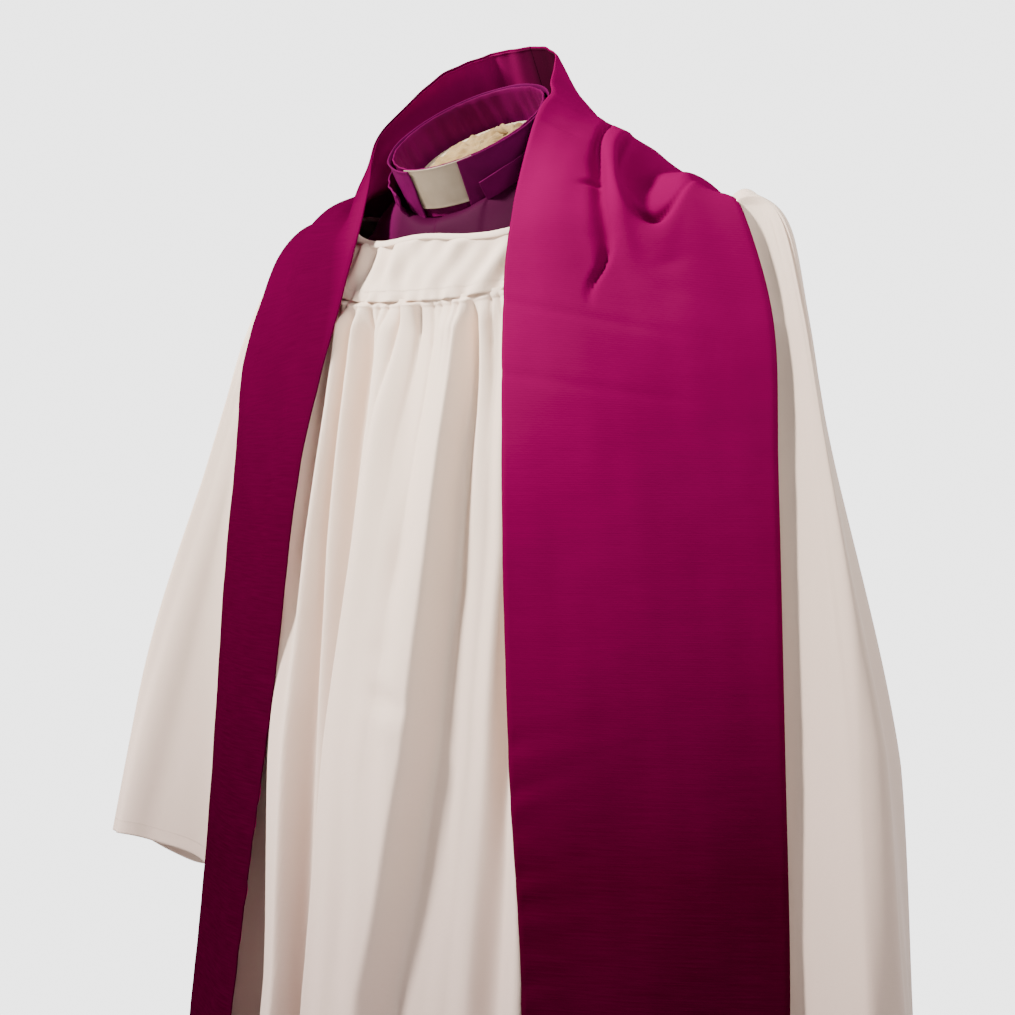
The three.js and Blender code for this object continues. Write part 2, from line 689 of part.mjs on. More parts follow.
function addSleeves() {
  const envelope = bodyEnvelope(BAND_RISE + BAND_GAP + DRAPE_GAP);
  const last = SLEEVE_RINGS.length - 1;
  for (const [name, side] of [['left', 1], ['right', -1]]) {
    const sleeve = sheetSolid(sleeveSurface(side, 0, last), ...SLEEVE_GRID, 0, -CLOTH, true);
    addPiece(`sleeve_${name}`, cut(sleeve, envelope), COTTON);
    const hem = sleeveSurface(side, CUFF_START, last);
    const cuff = sheetSolid(hem, SLEEVE_GRID[0], 1, CUFF_GAP + BAND_RISE, CUFF_GAP, true);
    addPiece(`cuff_${name}`, cut(cuff, envelope), COTTON);
    const inside = sleeveSurface(side, PADDING_START, PADDING_END, PADDING_FILL, PADDING_DEPTH);
    addPiece(`sleeve_padding_${name}`, cut(loftSolid(inside, ...PADDING_GRID), envelope), CALICO);
  }
}

// ---------------------------------------------------------------- the stole

function addStole() {
  const body = bodyEnvelope(BAND_RISE + BAND_GAP + DRAPE_GAP);
  for (const [name, side] of [['left', 1], ['right', -1]]) {
    const surface = stoleSurface(side);
    const face = sheetSolid(surface, ...STOLE_GRID, 0, -side * STOLE_FACE);
    addPiece(`stole_${name}`, cut(face, body), MAGENTA);
    const liningTop = STOLE_FACE + GAP;
    const liningFoot = liningTop + STOLE_LINING;
    const lining = sheetSolid(surface, ...STOLE_GRID, -side * liningTop, -side * liningFoot);
    addPiece(`stole_lining_${name}`, cut(lining, body), LINING);
  }
}

addStand();
addMast();
addForm();
addCollar();
addCassock();
addSurplice();
addSleeves();
addStole();

export default group;
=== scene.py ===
"""Looks of a vestment display form: white surplice, purple clerical collar, wide magenta stole.

The front faces -Y and the wearer's left is +X. Lengths in the tables below are millimetres and
turn into metres by MM; every other length is in metres.
"""
import math

import bmesh
import bpy
import numpy as np
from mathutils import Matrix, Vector
from mathutils.bvhtree import BVHTree


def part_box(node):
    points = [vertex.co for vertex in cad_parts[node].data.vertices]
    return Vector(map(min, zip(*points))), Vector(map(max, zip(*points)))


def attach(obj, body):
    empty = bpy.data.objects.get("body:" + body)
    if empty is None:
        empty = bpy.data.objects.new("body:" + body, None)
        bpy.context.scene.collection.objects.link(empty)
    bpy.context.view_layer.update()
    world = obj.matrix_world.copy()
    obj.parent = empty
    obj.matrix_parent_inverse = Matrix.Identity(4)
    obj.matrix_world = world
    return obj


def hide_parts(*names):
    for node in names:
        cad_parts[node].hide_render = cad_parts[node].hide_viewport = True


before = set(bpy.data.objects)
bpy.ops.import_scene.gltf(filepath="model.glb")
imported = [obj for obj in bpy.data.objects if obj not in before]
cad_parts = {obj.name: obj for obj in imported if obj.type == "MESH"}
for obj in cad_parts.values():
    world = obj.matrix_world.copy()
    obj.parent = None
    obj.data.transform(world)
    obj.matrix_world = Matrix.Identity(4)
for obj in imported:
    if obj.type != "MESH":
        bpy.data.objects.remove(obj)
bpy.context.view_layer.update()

MM = 0.001

# ------------------------------------------------------------ the shapes that the clothes follow

# Rings from the neck down: half width, then Y at the front, side and back, then Z at those points.
SURPLICE_RINGS = [
    (90, -114, -40, 38, 1338, 1392, 1411),  # neckline
    (140, -115, -20, 58, 1316, 1377, 1381),
    (205, -117, -5, 78, 1289, 1352, 1333),  # yoke seam
    (226, -125, 0, 98, 1235, 1290, 1270),
    (232, -140, 0, 115, 1160, 1180, 1170),
    (240, -157, 2, 146, 1050, 1050, 1050),
    (252, -170, 6, 164, 956, 956, 956),
    (270, -177, 8, 182, 850, 850, 850),
    (286, -185, 10, 198, 740, 740, 740),
    (302, -200, 8, 208, 600, 600, 600),
    (318, -218, 4, 222, 430, 430, 430),  # hem
]
CASSOCK_RINGS = [
    (74, -93, -42, 16, 1353, 1392, 1428),  # the shirt inside the neckline
    (79, -106, -42, 26, 1344, 1385, 1419),
    (128, -107, -22, 46, 1314, 1366, 1370),
    (197, -109, -5, 67, 1280, 1341, 1322),
    (208, -115, 0, 88, 1225, 1268, 1252),
    (205, -128, 0, 104, 1150, 1150, 1150),
    (200, -132, 0, 110, 1030, 1030, 1030),
]
FORM_RINGS = [
    (52, -84, -42, 2, 1350, 1385, 1412),
    (115, -99, -25, 39, 1310, 1359, 1364),
    (190, -103, -5, 60, 1272, 1333, 1316),
    (185, -108, 0, 80, 1215, 1245, 1235),
    (172, -118, 0, 96, 1150, 1150, 1150),
    (138, -100, 0, 85, 1020, 1020, 1020),
    (160, -110, 0, 104, 900, 900, 900),
    (165, -112, 0, 108, 846, 846, 846),
]
YOKE_SEAM = 2
SURPLICE_HEM = 10

# Sleeve rings: out along X, forward, Z, half length, half thickness, tilt.
SLEEVE_RINGS = [
    (222, 0, 1361, 16, 8, 0),
    (229, 0, 1338, 58, 24, 0),
    (238, 0, 1266, 90, 30, 0),
    (260, 0, 1150, 104, 30, 0),
    (290, 0, 956, 124, 46, 8),
    (306, 3, 827, 134, 52, 16),
]
SLEEVE_TURN = math.radians(41.5)
LEFT_SLEEVE_DROP = 80
DROP_START = 4
HEM_DIP = 0.026

# The stole's rails from the seam behind the neck down: inner edge, middle, outer edge.
STOLE_STATIONS = [
    (2, 8, 1496, 2, 50, 1410, 2, 98, 1325),
    (40, -4, 1492, 62, 46, 1409, 85, 94, 1328),
    (66, -40, 1470, 113, 24, 1411, 167, 66, 1361),
    (82, -80, 1418, 139, -36, 1394, 205, 8, 1376),
    (90, -112, 1352, 167, -88, 1351, 244, -28, 1350),
    (90, -122, 1285, 188, -98, 1274, 284, -45, 1262),
    (110, -143, 1150, 205, -105, 1150, 294, -52, 1150),
    (131, -160, 956, 223, -118, 956, 307, -61, 956),
    (152, -168, 776, 239, -126, 776, 317, -68, 776),
    (162, -192, 560, 249, -148, 560, 328, -90, 560),
    (169, -208, 360, 257, -164, 360, 337, -106, 360),
]
CHEST_STATION = 4
TUCK_DEPTH = 0.011
TUCK_FADE = 0.06
STOLE_WIDTH = 0.206

CAMERA_AZIMUTH = math.radians(43)
CAMERA_DISTANCE = 2.15
CAMERA_HEIGHT = 1.15
AIM_HEIGHT = 1.128
AIM_LEFT = 0.0139
LENS = 95.8

COLLAR_CENTRE = Vector((0, -0.065, 1.424))
COLLAR_TILT = math.radians(35)
COLLAR_TURN = math.radians(12)

COTTON_THICKNESS = 0.0008
SILK_THICKNESS = 0.0009
LINING_THICKNESS = 0.0005
SHARP_ANGLE = math.radians(40)
WELD_DISTANCE = 1e-6

# ---------------------------------------------------------------- small helpers


def catmull_rom(table, places):
    """Rows of a table read smoothly at fractional places."""
    table = np.asarray(table, float)
    places = np.asarray(places, float)
    last = len(table) - 1
    index = np.clip(np.floor(places).astype(int), 0, last - 1)
    t = (places - index)[:, None]
    before = table[np.clip(index - 1, 0, last)]
    start = table[index]
    end = table[index + 1]
    after = table[np.clip(index + 2, 0, last)]
    slope_start = (end - before) / 2
    slope_end = (after - start) / 2
    t2 = t * t
    t3 = t2 * t
    return (
        (2 * t3 - 3 * t2 + 1) * start
        + (t3 - 2 * t2 + t) * slope_start
        + (3 * t2 - 2 * t3) * end
        + (t3 - t2) * slope_end
    )


def ring_grid(rings, angles, levels):
    """Points on the rings. Angle 0 is the wearer's left, 90 degrees the back.

    levels is one number for each row, or a grid with one for each point.
    """
    levels = np.asarray(levels, float)
    grid = levels if levels.ndim == 2 else levels[:, None]
    rows = (catmull_rom(rings, grid.ravel()) * MM).reshape(*grid.shape, -1)
    half, front, side, back, z_front, z_side, z_back = (rows[..., i] for i in range(7))
    c = np.cos(angles)[None, :]
    s = np.sin(angles)[None, :]
    facing = np.where(s < 0, front, back)
    z_facing = np.where(s < 0, z_front, z_back)
    x = half * c
    y = side + np.abs(s) * (facing - side)
    z = z_side * c * c + z_facing * s * s
    return np.stack([x, y, z], axis=-1)


def grid_normals(points, round_u=False):
    """Unit normals of a grid of points, on the side of dv x du."""
    if round_u:
        du = np.roll(points, -1, axis=1) - np.roll(points, 1, axis=1)
    else:
        du = np.gradient(points, axis=1)
    dv = np.gradient(points, axis=0)
    n = np.cross(dv, du)
    return n / np.maximum(np.linalg.norm(n, axis=-1, keepdims=True), 1e-12)


def smooth_step(edge0, edge1, x):
    t = np.clip((x - edge0) / (edge1 - edge0), 0, 1)
    return t * t * (3 - 2 * t)


def bump_at(x, centre, width):
    """A bell of height 1 about a centre."""
    return np.exp(-(((x - centre) / width) ** 2))


def surface_noise(x, y, low, high, count, rng):
    """A random wavy surface over x and y, about -1 to 1."""
    total = np.zeros(np.broadcast(x, y).shape)
    for _ in range(count):
        wavelength = math.exp(rng.uniform(math.log(low), math.log(high)))
        heading = rng.uniform(0, math.pi)
        along = x * math.cos(heading) + y * math.sin(heading)
        total = total + np.sin(2 * math.pi * along / wavelength + rng.uniform(0, 2 * math.pi))
    return total / math.sqrt(count)


def grid_faces(points, round_u):
    """The four corners of every face of a grid, with the face's column and row."""
    rows, columns = points.shape[:2]
    across = columns if round_u else columns - 1
    i, j = np.meshgrid(np.arange(across), np.arange(rows - 1))
    right = (i + 1) % columns
    faces = np.stack(
        [j * columns + i, (j + 1) * columns + i, (j + 1) * columns + right, j * columns + right],
        axis=-1,
    )
    return faces.reshape(-1, 4), i.reshape(-1), j.reshape(-1)


def grid_object(name, points, uv, material, round_u=False, thickness=None, offset=-1.0):
    """A smooth mesh over a grid of points, with UVs in metres, made a sheet of that thickness."""
    faces, column, row = grid_faces(points, round_u)
    mesh = bpy.data.meshes.new(name)
    mesh.from_pydata(points.reshape(-1, 3).tolist(), [], faces.tolist())
    layer = mesh.uv_layers.new(name="UVMap")
    loops = uv.reshape(-1, 2)[faces.reshape(-1)]
    if round_u:
        # The last column's faces run on past the grid's edge instead of back to its start.
        seam = np.zeros((len(faces), 4, 2))
        wide = column == points.shape[1] - 1
        width = uv[:, -1, 0] + (uv[:, 1, 0] - uv[:, 0, 0])
        seam[wide, 2, 0] = width[row[wide] + 1]
        seam[wide, 3, 0] = width[row[wide]]
        loops = loops + seam.reshape(-1, 2)
    layer.data.foreach_set("uv", loops.astype(np.float32).reshape(-1))
    mesh.polygons.foreach_set("use_smooth", np.ones(len(faces), bool))
    mesh.materials.append(material)
    mesh.update()
    obj = bpy.data.objects.new(name, mesh)
    bpy.context.scene.collection.objects.link(obj)
    if thickness:
        solid = obj.modifiers.new("thickness", "SOLIDIFY")
        solid.thickness = thickness
        solid.offset = offset
    return obj


def grid_uv(points):
    """UVs in metres: across from the mean row spacing, down along the mean column."""
    step_u = np.linalg.norm(np.diff(points, axis=1), axis=-1)
    step_v = np.linalg.norm(np.diff(points, axis=0), axis=-1)
    u = np.concatenate([np.zeros((points.shape[0], 1)), np.cumsum(step_u, axis=1)], axis=1)
    v = np.concatenate([[0], np.cumsum(step_v.mean(axis=1))])
    return np.stack([u, np.repeat(v[:, None], points.shape[1], axis=1)], axis=-1)


def tree_of(points):
    """A search tree over a grid of points."""
    faces = grid_faces(points, False)[0]
    return BVHTree.FromPolygons(points.reshape(-1, 3).tolist(), faces.tolist())


def finish_piece(obj, body, slot, *nodes):
    """Says which body the piece rides on and which CAD nodes it replaces; slot, what it is made of,
    is not used.
    """
    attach(obj, body)
    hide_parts(*nodes)


def close_ends(obj):
    """Fills the open rims of a mesh."""
    mesh = bmesh.new()
    mesh.from_mesh(obj.data)
    rims = [edge for edge in mesh.edges if edge.is_boundary]
    bmesh.ops.holes_fill(mesh, edges=rims, sides=0)
    bmesh.ops.recalc_face_normals(mesh, faces=mesh.faces)
    mesh.to_mesh(obj.data)
    mesh.free()


def weld(obj):
    """Joins a turned piece's doubled points, turns its faces outward and marks its sharp edges."""
    mesh = bmesh.new()
    mesh.from_mesh(obj.data)
    bmesh.ops.remove_doubles(mesh, verts=mesh.verts, dist=WELD_DISTANCE)
    bmesh.ops.recalc_face_normals(mesh, faces=mesh.faces)
    mesh.to_mesh(obj.data)
    mesh.free()
    obj.data.set_sharp_from_angle(angle=SHARP_ANGLE)


def soften_rim(obj):
    """Rounds a thin piece's cut edges."""
    bevel = obj.modifiers.new("rim", "BEVEL")
    bevel.width = 0.0005
    bevel.segments = 2
    bevel.limit_method = "ANGLE"
    bevel.angle_limit = math.radians(50)


# ---------------------------------------------------------------- materials


class Nodes:
    """Short calls for building one material's nodes."""

    def __init__(self, name, color, roughness, metallic=0.0):
        self.material = bpy.data.materials.new(name)
        self.material.use_nodes = True
        self.tree = self.material.node_tree
        self.shader = self.tree.nodes["Principled BSDF"]
        self.set("Base Color", (*color, 1))
        self.set("Roughness", roughness)
        self.set("Metallic", metallic)

    def set(self, socket, value):
        self.shader.inputs[socket].default_value = value

    def link(self, source, target):
        self.tree.links.new(source, target)

    def node(self, kind, **settings):
        made = self.tree.nodes.new(kind)
        for key, value in settings.items():
            setattr(made, key, value)
        return made

    def stretched(self, vector, scale):
        mapping = self.node("ShaderNodeMapping")
        mapping.inputs["Scale"].default_value = scale
        self.link(vector, mapping.inputs["Vector"])
        return mapping.outputs["Vector"]

    def uv(self, scale=(1, 1, 1)):
        source = self.node("ShaderNodeUVMap", uv_map="UVMap")
        return self.stretched(source.outputs["UV"], scale)

    def place(self):
        return self.node("ShaderNodeTexCoord").outputs["Object"]

    def split(self, vector):
        """The X, Y and Z outputs of a vector."""
        made = self.node("ShaderNodeSeparateXYZ")
        self.link(vector, made.inputs["Vector"])
        return made.outputs

    def share(self, value, start, end, top=1.0):
        """0 before start, top beyond end, and even steps between."""
        made = self.node("ShaderNodeMapRange")
        made.inputs["From Min"].default_value = start
        made.inputs["From Max"].default_value = end
        made.inputs["To Max"].default_value = top
        self.link(value, made.inputs["Value"])
        return made.outputs["Result"]

    def noise(self, vector, scale, detail, roughness=0.5):
        made = self.node("ShaderNodeTexNoise")
        made.inputs["Scale"].default_value = scale
        made.inputs["Detail"].default_value = detail
        made.inputs["Roughness"].default_value = roughness
        self.link(vector, made.inputs["Vector"])
        return made.outputs["Fac"]

    def wave(self, vector, scale, direction, distortion=0.0, detail=0.0, detail_scale=1.0):
        made = self.node("ShaderNodeTexWave", bands_direction=direction, wave_profile="SIN")
        made.inputs["Scale"].default_value = scale
        made.inputs["Distortion"].default_value = distortion
        made.inputs["Detail"].default_value = detail
        made.inputs["Detail Scale"].default_value = detail_scale
        self.link(vector, made.inputs["Vector"])
        return made.outputs["Fac"]

    def math(self, operation, a, b=None):
        made = self.node("ShaderNodeMath", operation=operation)
        for socket, value in zip(made.inputs, (a, b)):
            if value is None:
                continue
            if isinstance(value, (int, float)):
                socket.default_value = value
            else:
                self.link(value, socket)
        return made.outputs[0]

    def ramp(self, fac, stops):
        made = self.node("ShaderNodeValToRGB")
        elements = made.color_ramp.elements
        while len(elements) < len(stops):
            elements.new(0.5)
        for element, (position, color) in zip(elements, stops):
            element.position = position
            element.color = (*color, 1)
        self.link(fac, made.inputs["Fac"])
        return made.outputs["Color"]

    def mix(self, fac, a, b):
        made = self.node("ShaderNodeMix", data_type="RGBA")
        for socket, value in ((made.inputs[0], fac), (made.inputs[6], a), (made.inputs[7], b)):
            if isinstance(value, (int, float)):
                socket.default_value = value
            elif isinstance(value, tuple):
                socket.default_value = (*value, 1)
            else:
                self.link(value, socket)
        return made.outputs[2]

    def color(self, value):
        self.link(value, self.shader.inputs["Base Color"])

    def tint(self, amount, pattern, base, color):
        """The base colour, moved towards a plain colour where the pattern is high."""
        return self.mix(self.math("MULTIPLY", pattern, amount), base, color)

    def bump(self, height, strength, distance, normal=None):
        made = self.node("ShaderNodeBump")
        made.inputs["Strength"].default_value = strength
        made.inputs["Distance"].default_value = distance
        self.link(height, made.inputs["Height"])
        if normal is not None:
            self.link(normal, made.inputs["Normal"])
        return made.outputs["Normal"]

    def normal(self, value):
        self.link(value, self.shader.inputs["Normal"])


# A wave texture of scale 1 has a period of 2 pi / 20 along its direction.
WAVE_PERIOD = 2 * math.pi / 20


COTTON_THREAD = 0.0009
SILK_RIB = 0.0016


def wave_scale(period):
    return WAVE_PERIOD / period


def weave_pattern(m, thread):
    """Warp crossed with weft, each with that period."""
    uv = m.uv()
    scale = wave_scale(thread)
    return m.math("MULTIPLY", m.wave(uv, scale, "X"), m.wave(uv, scale, "Y"))


STITCH_HALF_WIDTH = 0.0004
STITCH_LENGTH = 0.0026
STITCH_GAP_SHARE = 0.3


def stitch_height(m, line):
    """A row of stitches at a height above the piece's lower edge, and the doubled cloth below."""
    uv = m.split(m.uv())
    away = m.math("ABSOLUTE", m.math("SUBTRACT", uv["Y"], line))
    on_line = m.math("LESS_THAN", away, STITCH_HALF_WIDTH)
    beat = m.math("FRACT", m.math("DIVIDE", uv["X"], STITCH_LENGTH))
    on_beat = m.math("GREATER_THAN", beat, STITCH_GAP_SHARE)
    below = m.math("LESS_THAN", uv["Y"], line)
    return m.math("MULTIPLY", on_line, on_beat), below


def cotton_material(name, stitch_line=None):
    """Plain-woven warm white cotton, with slubs, small creases and a row of stitches.

    Painted shade darkens it towards the hem and on the wearer's left sleeve.
    """
    m = Nodes(name, (0.80, 0.75, 0.70), 0.85)
    weave = weave_pattern(m, COTTON_THREAD)
    slub = m.noise(m.uv((1, 8, 1)), 180, 2)
    blotch = m.noise(m.place(), 9, 4)
    place = m.split(m.place())
    # Painted shade: this ramp by height darkens the cotton towards the hem, standing in for light
    # that falls off downward.
    level = m.ramp(
        m.share(place["Z"], 0.72, 1.36),
        [
            (0.0, (0.42, 0.31, 0.275)),
            (0.12, (0.50, 0.375, 0.33)),
            (0.30, (0.63, 0.485, 0.415)),
            (0.65, (0.78, 0.62, 0.51)),
            (1.0, (0.90, 0.72, 0.585)),
        ],
    )
    # Painted shade: darker beyond X 0.22 on the wearer's left sleeve.
    turned = m.mix(m.share(place["X"], 0.22, 0.30, 0.45), level, (0.42, 0.30, 0.255))
    base = m.tint(0.16, blotch, turned, (0.50, 0.39, 0.33))
    threads = m.tint(0.10, weave, base, (0.45, 0.36, 0.30))
    m.color(m.tint(0.06, slub, threads, (0.80, 0.74, 0.68)))
    creases = m.noise(m.place(), 38, 3, 0.6)
    coarse = m.bump(creases, 0.10, 0.004)
    woven = m.bump(weave, 0.25, 0.0003, coarse)
    if stitch_line:
        stitches, doubled = stitch_height(m, stitch_line)
        woven = m.bump(doubled, 0.5, 0.0006, woven)
        woven = m.bump(stitches, 1.0, 0.0007, woven)
    m.normal(woven)
    m.set("Sheen Weight", 0.12)
    m.set("Sheen Roughness", 0.5)
    m.set("Specular IOR Level", 0.15)
    return m.material


def silk_material():
    """Ribbed magenta faille with painted light and shade: darker towards its ends and on the
    wearer's right half.
    """
    m = Nodes("magenta_silk", (0.36, 0.005, 0.12), 0.6)
    ribs = m.wave(m.uv(), wave_scale(SILK_RIB), "Y", 0.35, detail=1.0, detail_scale=1.5)
    yarn = m.noise(m.uv((25, 700, 1)), 1.0, 2)
    blotch = m.noise(m.place(), 11, 3)
    place = m.split(m.place())
    # Painted light and shade: a lit ramp and a shaded ramp by height, mixed by X so the wearer's
    # right half is darker.
    height = m.share(place["Z"], 0.36, 1.42)
    lit = m.ramp(
        height,
        [
            (0.0, (0.010, 0.0, 0.001)),
            (0.36, (0.012, 0.0, 0.0015)),
            (0.48, (0.029, 0.0, 0.005)),
            (0.64, (0.090, 0.0, 0.026)),
            (0.86, (0.155, 0.0, 0.050)),
            (1.0, (0.165, 0.0, 0.054)),
        ],
    )
    shaded = m.ramp(
        height,
        [
            (0.0, (0.003, 0.0, 0.0005)),
            (0.45, (0.007, 0.0, 0.001)),
            (0.70, (0.028, 0.0, 0.007)),
            (0.90, (0.052, 0.0, 0.016)),
            (1.0, (0.036, 0.0, 0.012)),
        ],
    )
    cloth = m.mix(m.share(place["X"], -0.04, -0.10), lit, shaded)
    dark = m.tint(0.08, ribs, cloth, (0.03, 0.0, 0.008))
    spun = m.tint(0.10, yarn, dark, (0.26, 0.0, 0.08))
    m.color(m.tint(0.25, blotch, spun, (0.04, 0.0, 0.012)))
    soft = m.bump(m.noise(m.place(), 26, 2), 0.10, 0.003)
    m.normal(m.bump(ribs, 0.12, 0.0004, soft))
    m.set("Specular IOR Level", 0.0)
    return m.material


def painted_light_cloth(name, far, near, far_x, near_x, thread):
    """Plain cloth with painted light and shade: the far colour beyond far_x, the near one from
    near_x on.
    """
    m = Nodes(name, near, 0.65)
    place = m.split(m.place())
    # Painted light and shade: the colour changes with X, not with the cloth.
    cloth = m.mix(m.share(place["X"], far_x, near_x), far, near)
    blotch = m.noise(m.place(), 24, 4)
    m.color(m.tint(0.3, blotch, cloth, tuple(0.5 * c for c in near)))
    m.normal(m.bump(m.wave(m.uv(), wave_scale(thread), "X"), 0.15, 0.0002))
    m.set("Specular IOR Level", 0.04)
    return m.material


def plain_cloth(name, dark, light, roughness, thread, sheen):
    """Smooth cloth with a fine weave and soft shade variation."""
    m = Nodes(name, light, roughness)
    weave = weave_pattern(m, thread)
    blotch = m.noise(m.place(), 24, 4)
    base = m.ramp(blotch, [(0.3, dark), (0.7, light)])
    m.color(m.tint(0.25, weave, base, tuple(0.5 * c for c in dark)))
    soft = m.bump(m.noise(m.place(), 60, 3), 0.12, 0.002)
    m.normal(m.bump(weave, 0.3, 0.0003, soft))
    m.set("Sheen Weight", sheen)
    m.set("Sheen Tint", (1, 1, 1, 1))
    m.set("Specular IOR Level", 0.04)
    return m.material


def tab_material():
    """Smooth cream tab with faint mottling."""
    m = Nodes("cream_tab", (0.60, 0.55, 0.42), 0.45)
    mottle = m.noise(m.place(), 90, 3)
    m.color(m.ramp(mottle, [(0.3, (0.24, 0.185, 0.125)), (0.7, (0.28, 0.22, 0.155))]))
    m.normal(m.bump(m.noise(m.place(), 700, 2), 0.05, 0.0003))
    m.set("Specular IOR Level", 0.4)
    return m.material


def paint_material():
    """Satin black powder coat with fine orange peel."""
    m = Nodes("black_steel", (0.018, 0.018, 0.02), 0.42)
    scuffs = m.noise(m.place(), 14, 5, 0.7)
    m.color(m.ramp(scuffs, [(0.35, (0.014, 0.014, 0.016)), (0.75, (0.034, 0.034, 0.036))]))
    m.normal(m.bump(m.noise(m.place(), 900, 2), 0.12, 0.0004))
    m.set("Coat Weight", 0.2)
    m.set("Coat Roughness", 0.3)
    return m.material


def chrome_material():
    """Bright plated tube, faintly clouded."""
    m = Nodes("chrome", (0.62, 0.62, 0.64), 0.18, 1.0)
    grime = m.noise(m.place(), 30, 4)
    m.color(m.ramp(grime, [(0.3, (0.50, 0.50, 0.52)), (0.7, (0.68, 0.68, 0.70))]))
    m.normal(m.bump(m.noise(m.place(), 220, 2), 0.03, 0.0003))
    return m.material


def rubber_material(name):
    """Dull black rubber or plastic with a little dust."""
    m = Nodes(name, (0.016, 0.016, 0.016), 0.8)
    dust = m.noise(m.place(), 60, 5, 0.7)
    m.color(m.ramp(dust, [(0.4, (0.012, 0.012, 0.012)), (0.8, (0.04, 0.038, 0.036))]))
    m.normal(m.bump(m.noise(m.place(), 500, 2), 0.2, 0.0005))
    return m.material


def beech_material():
    """Varnished beech with its fibres along X."""
    m = Nodes("beech", (0.42, 0.25, 0.12), 0.5)
    grain = m.noise(m.uv(), 6, 4)
    fibres = m.noise(m.stretched(m.place(), (6, 90, 90)), 1.0, 4, 0.6)
    base = m.ramp(fibres, [(0.3, (0.30, 0.165, 0.075)), (0.7, (0.50, 0.31, 0.16))])
    m.color(m.tint(0.15, grain, base, (0.25, 0.13, 0.06)))
    m.normal(m.bump(fibres, 0.15, 0.0005))
    m.set("Coat Weight", 0.15)
    m.set("Coat Roughness", 0.35)
    return m.material


COTTON = cotton_material("white_cotton")
COTTON_SEAM = cotton_material("white_cotton_yoke", 0.007)
COTTON_HEM = cotton_material("white_cotton_hem", 0.012)
SILK = silk_material()
# Painted light and shade: the stole's lining is lit on the wearer's right and shaded on the left.
LINING = painted_light_cloth("stole_lining", (0.34, 0.0, 0.115), (0.030, 0.0, 0.009), -0.045, 0.0, 0.0008)
# Painted light: the purple is lighter on the wearer's right, where the stole's right half casts its
# shadow.
PURPLE = painted_light_cloth(
    "purple_cloth", (0.085, 0.0, 0.042), (0.038, 0.0, 0.018), -0.060, -0.040, 0.0009
)
PURPLE_COLLAR = plain_cloth(
    "purple_collar", (0.075, 0.0, 0.036), (0.11, 0.0, 0.055), 0.7, 0.0009, 0.0
)
PURPLE_SATIN = plain_cloth(
    "purple_lining", (0.085, 0.0, 0.036), (0.125, 0.0, 0.056), 0.5, 0.0006, 0.0
)
MUSLIN = plain_cloth("muslin", (0.20, 0.12, 0.045), (0.38, 0.265, 0.12), 0.9, 0.0011, 0.1)
CALICO = plain_cloth("calico", (0.52, 0.41, 0.25), (0.70, 0.60, 0.41), 0.9, 0.0012, 0.1)
TAB = tab_material()
PAINT = paint_material()
CHROME = chrome_material()
RUBBER = rubber_material("rubber")
KNOB = rubber_material("knob_plastic")
BEECH = beech_material()

# ---------------------------------------------------------------- the stole

STOLE_ROWS = 460
STOLE_LINING_GAP = 0.0013
BACK_SEAM_GAP = 0.0004


def stole_base(side, us, vs):
    """The stole half's smooth shape. us run from the inner edge, vs from the seam at the back."""
    stations = vs * (len(STOLE_STATIONS) - 1)
    rows = catmull_rom(STOLE_STATIONS, stations) * MM
    u = us[None, :, None]
    inner = rows[:, None, 0:3]
    middle = rows[:, None, 3:6]
    outer = rows[:, None, 6:9]
    points = inner * (1 - u) * (1 - 2 * u) + middle * 4 * u * (1 - u) + outer * u * (2 * u - 1)
    points[..., 0] = np.maximum(points[..., 0], BACK_SEAM_GAP)
    if side > 0:
        # The wearer's left half has slipped down a little beside the neck.
        slip = 0.026 * bump_at(stations, 1.7, 0.8)[:, None] * (1 - us[None, :]) ** 2
        outer_edge = smooth_step(0.76, 1, us)[None, :] * bump_at(stations, 2.9, 0.75)[:, None]
        slip = slip + 0.015 * outer_edge
        points[..., 0] -= 0.014 * outer_edge
        fold = bump_at(stations, 1.40, 0.42)[:, None] * (1 - us[None, :]) ** 4
        points[..., 0] -= 0.005 * fold
        points[..., 1] -= 0.003 * fold
    else:
        # The right half stands up beside the neck, then falls away in a hollow.
        outside = smooth_step(0.12, 0.36, us)[None, :]
        slip = 0.016 * bump_at(stations, 2.6, 1.0)[:, None] * outside
        slip = slip + 0.008 * bump_at(stations, 2.7, 0.7)[:, None] * bump_at(us, 0.26, 0.1)[None, :]
        nudge = 0.012 * bump_at(stations, 2.9, 0.4) - 0.022 * bump_at(stations, 4.05, 0.75)
        points[..., 0] += nudge[:, None] * (1 - us[None, :]) ** 2
        points[..., 1] -= 0.004 * bump_at(stations, 4.05, 0.75)[:, None] * (1 - us[None, :]) ** 2
    points[..., 2] -= slip
    return points * np.array([side, 1, 1])


RIM_SHARE = 0.03


def edge_columns(count):
    """Places across a cloth, closer together near both edges."""
    inner = np.linspace(RIM_SHARE, 1 - RIM_SHARE, count)
    rim = np.linspace(0, RIM_SHARE, 6)[:-1]
    return np.concatenate([rim, inner, (1 - rim)[::-1]])


# A crease's path is read at these distances and averaged, which rounds its corners.
PATH_SHIFTS = (-0.009, -0.0045, 0, 0.0045, 0.009)


def crease(u, s, path, width, depth, fade=0.02):
    """A fold along a path of (s, u) points: how far it lifts the cloth. Widths are in u."""
    path = np.asarray(path, float)
    centre = sum(np.interp(s + shift, path[:, 0], path[:, 1]) for shift in PATH_SHIFTS)
    centre = centre / len(PATH_SHIFTS)
    start, end = path[0, 0], path[-1, 0]
    along = smooth_step(start - fade, start + fade, s)
    along = along * (1 - smooth_step(end - fade, end + fade, s))
    return depth * along * bump_at(u, centre, width)


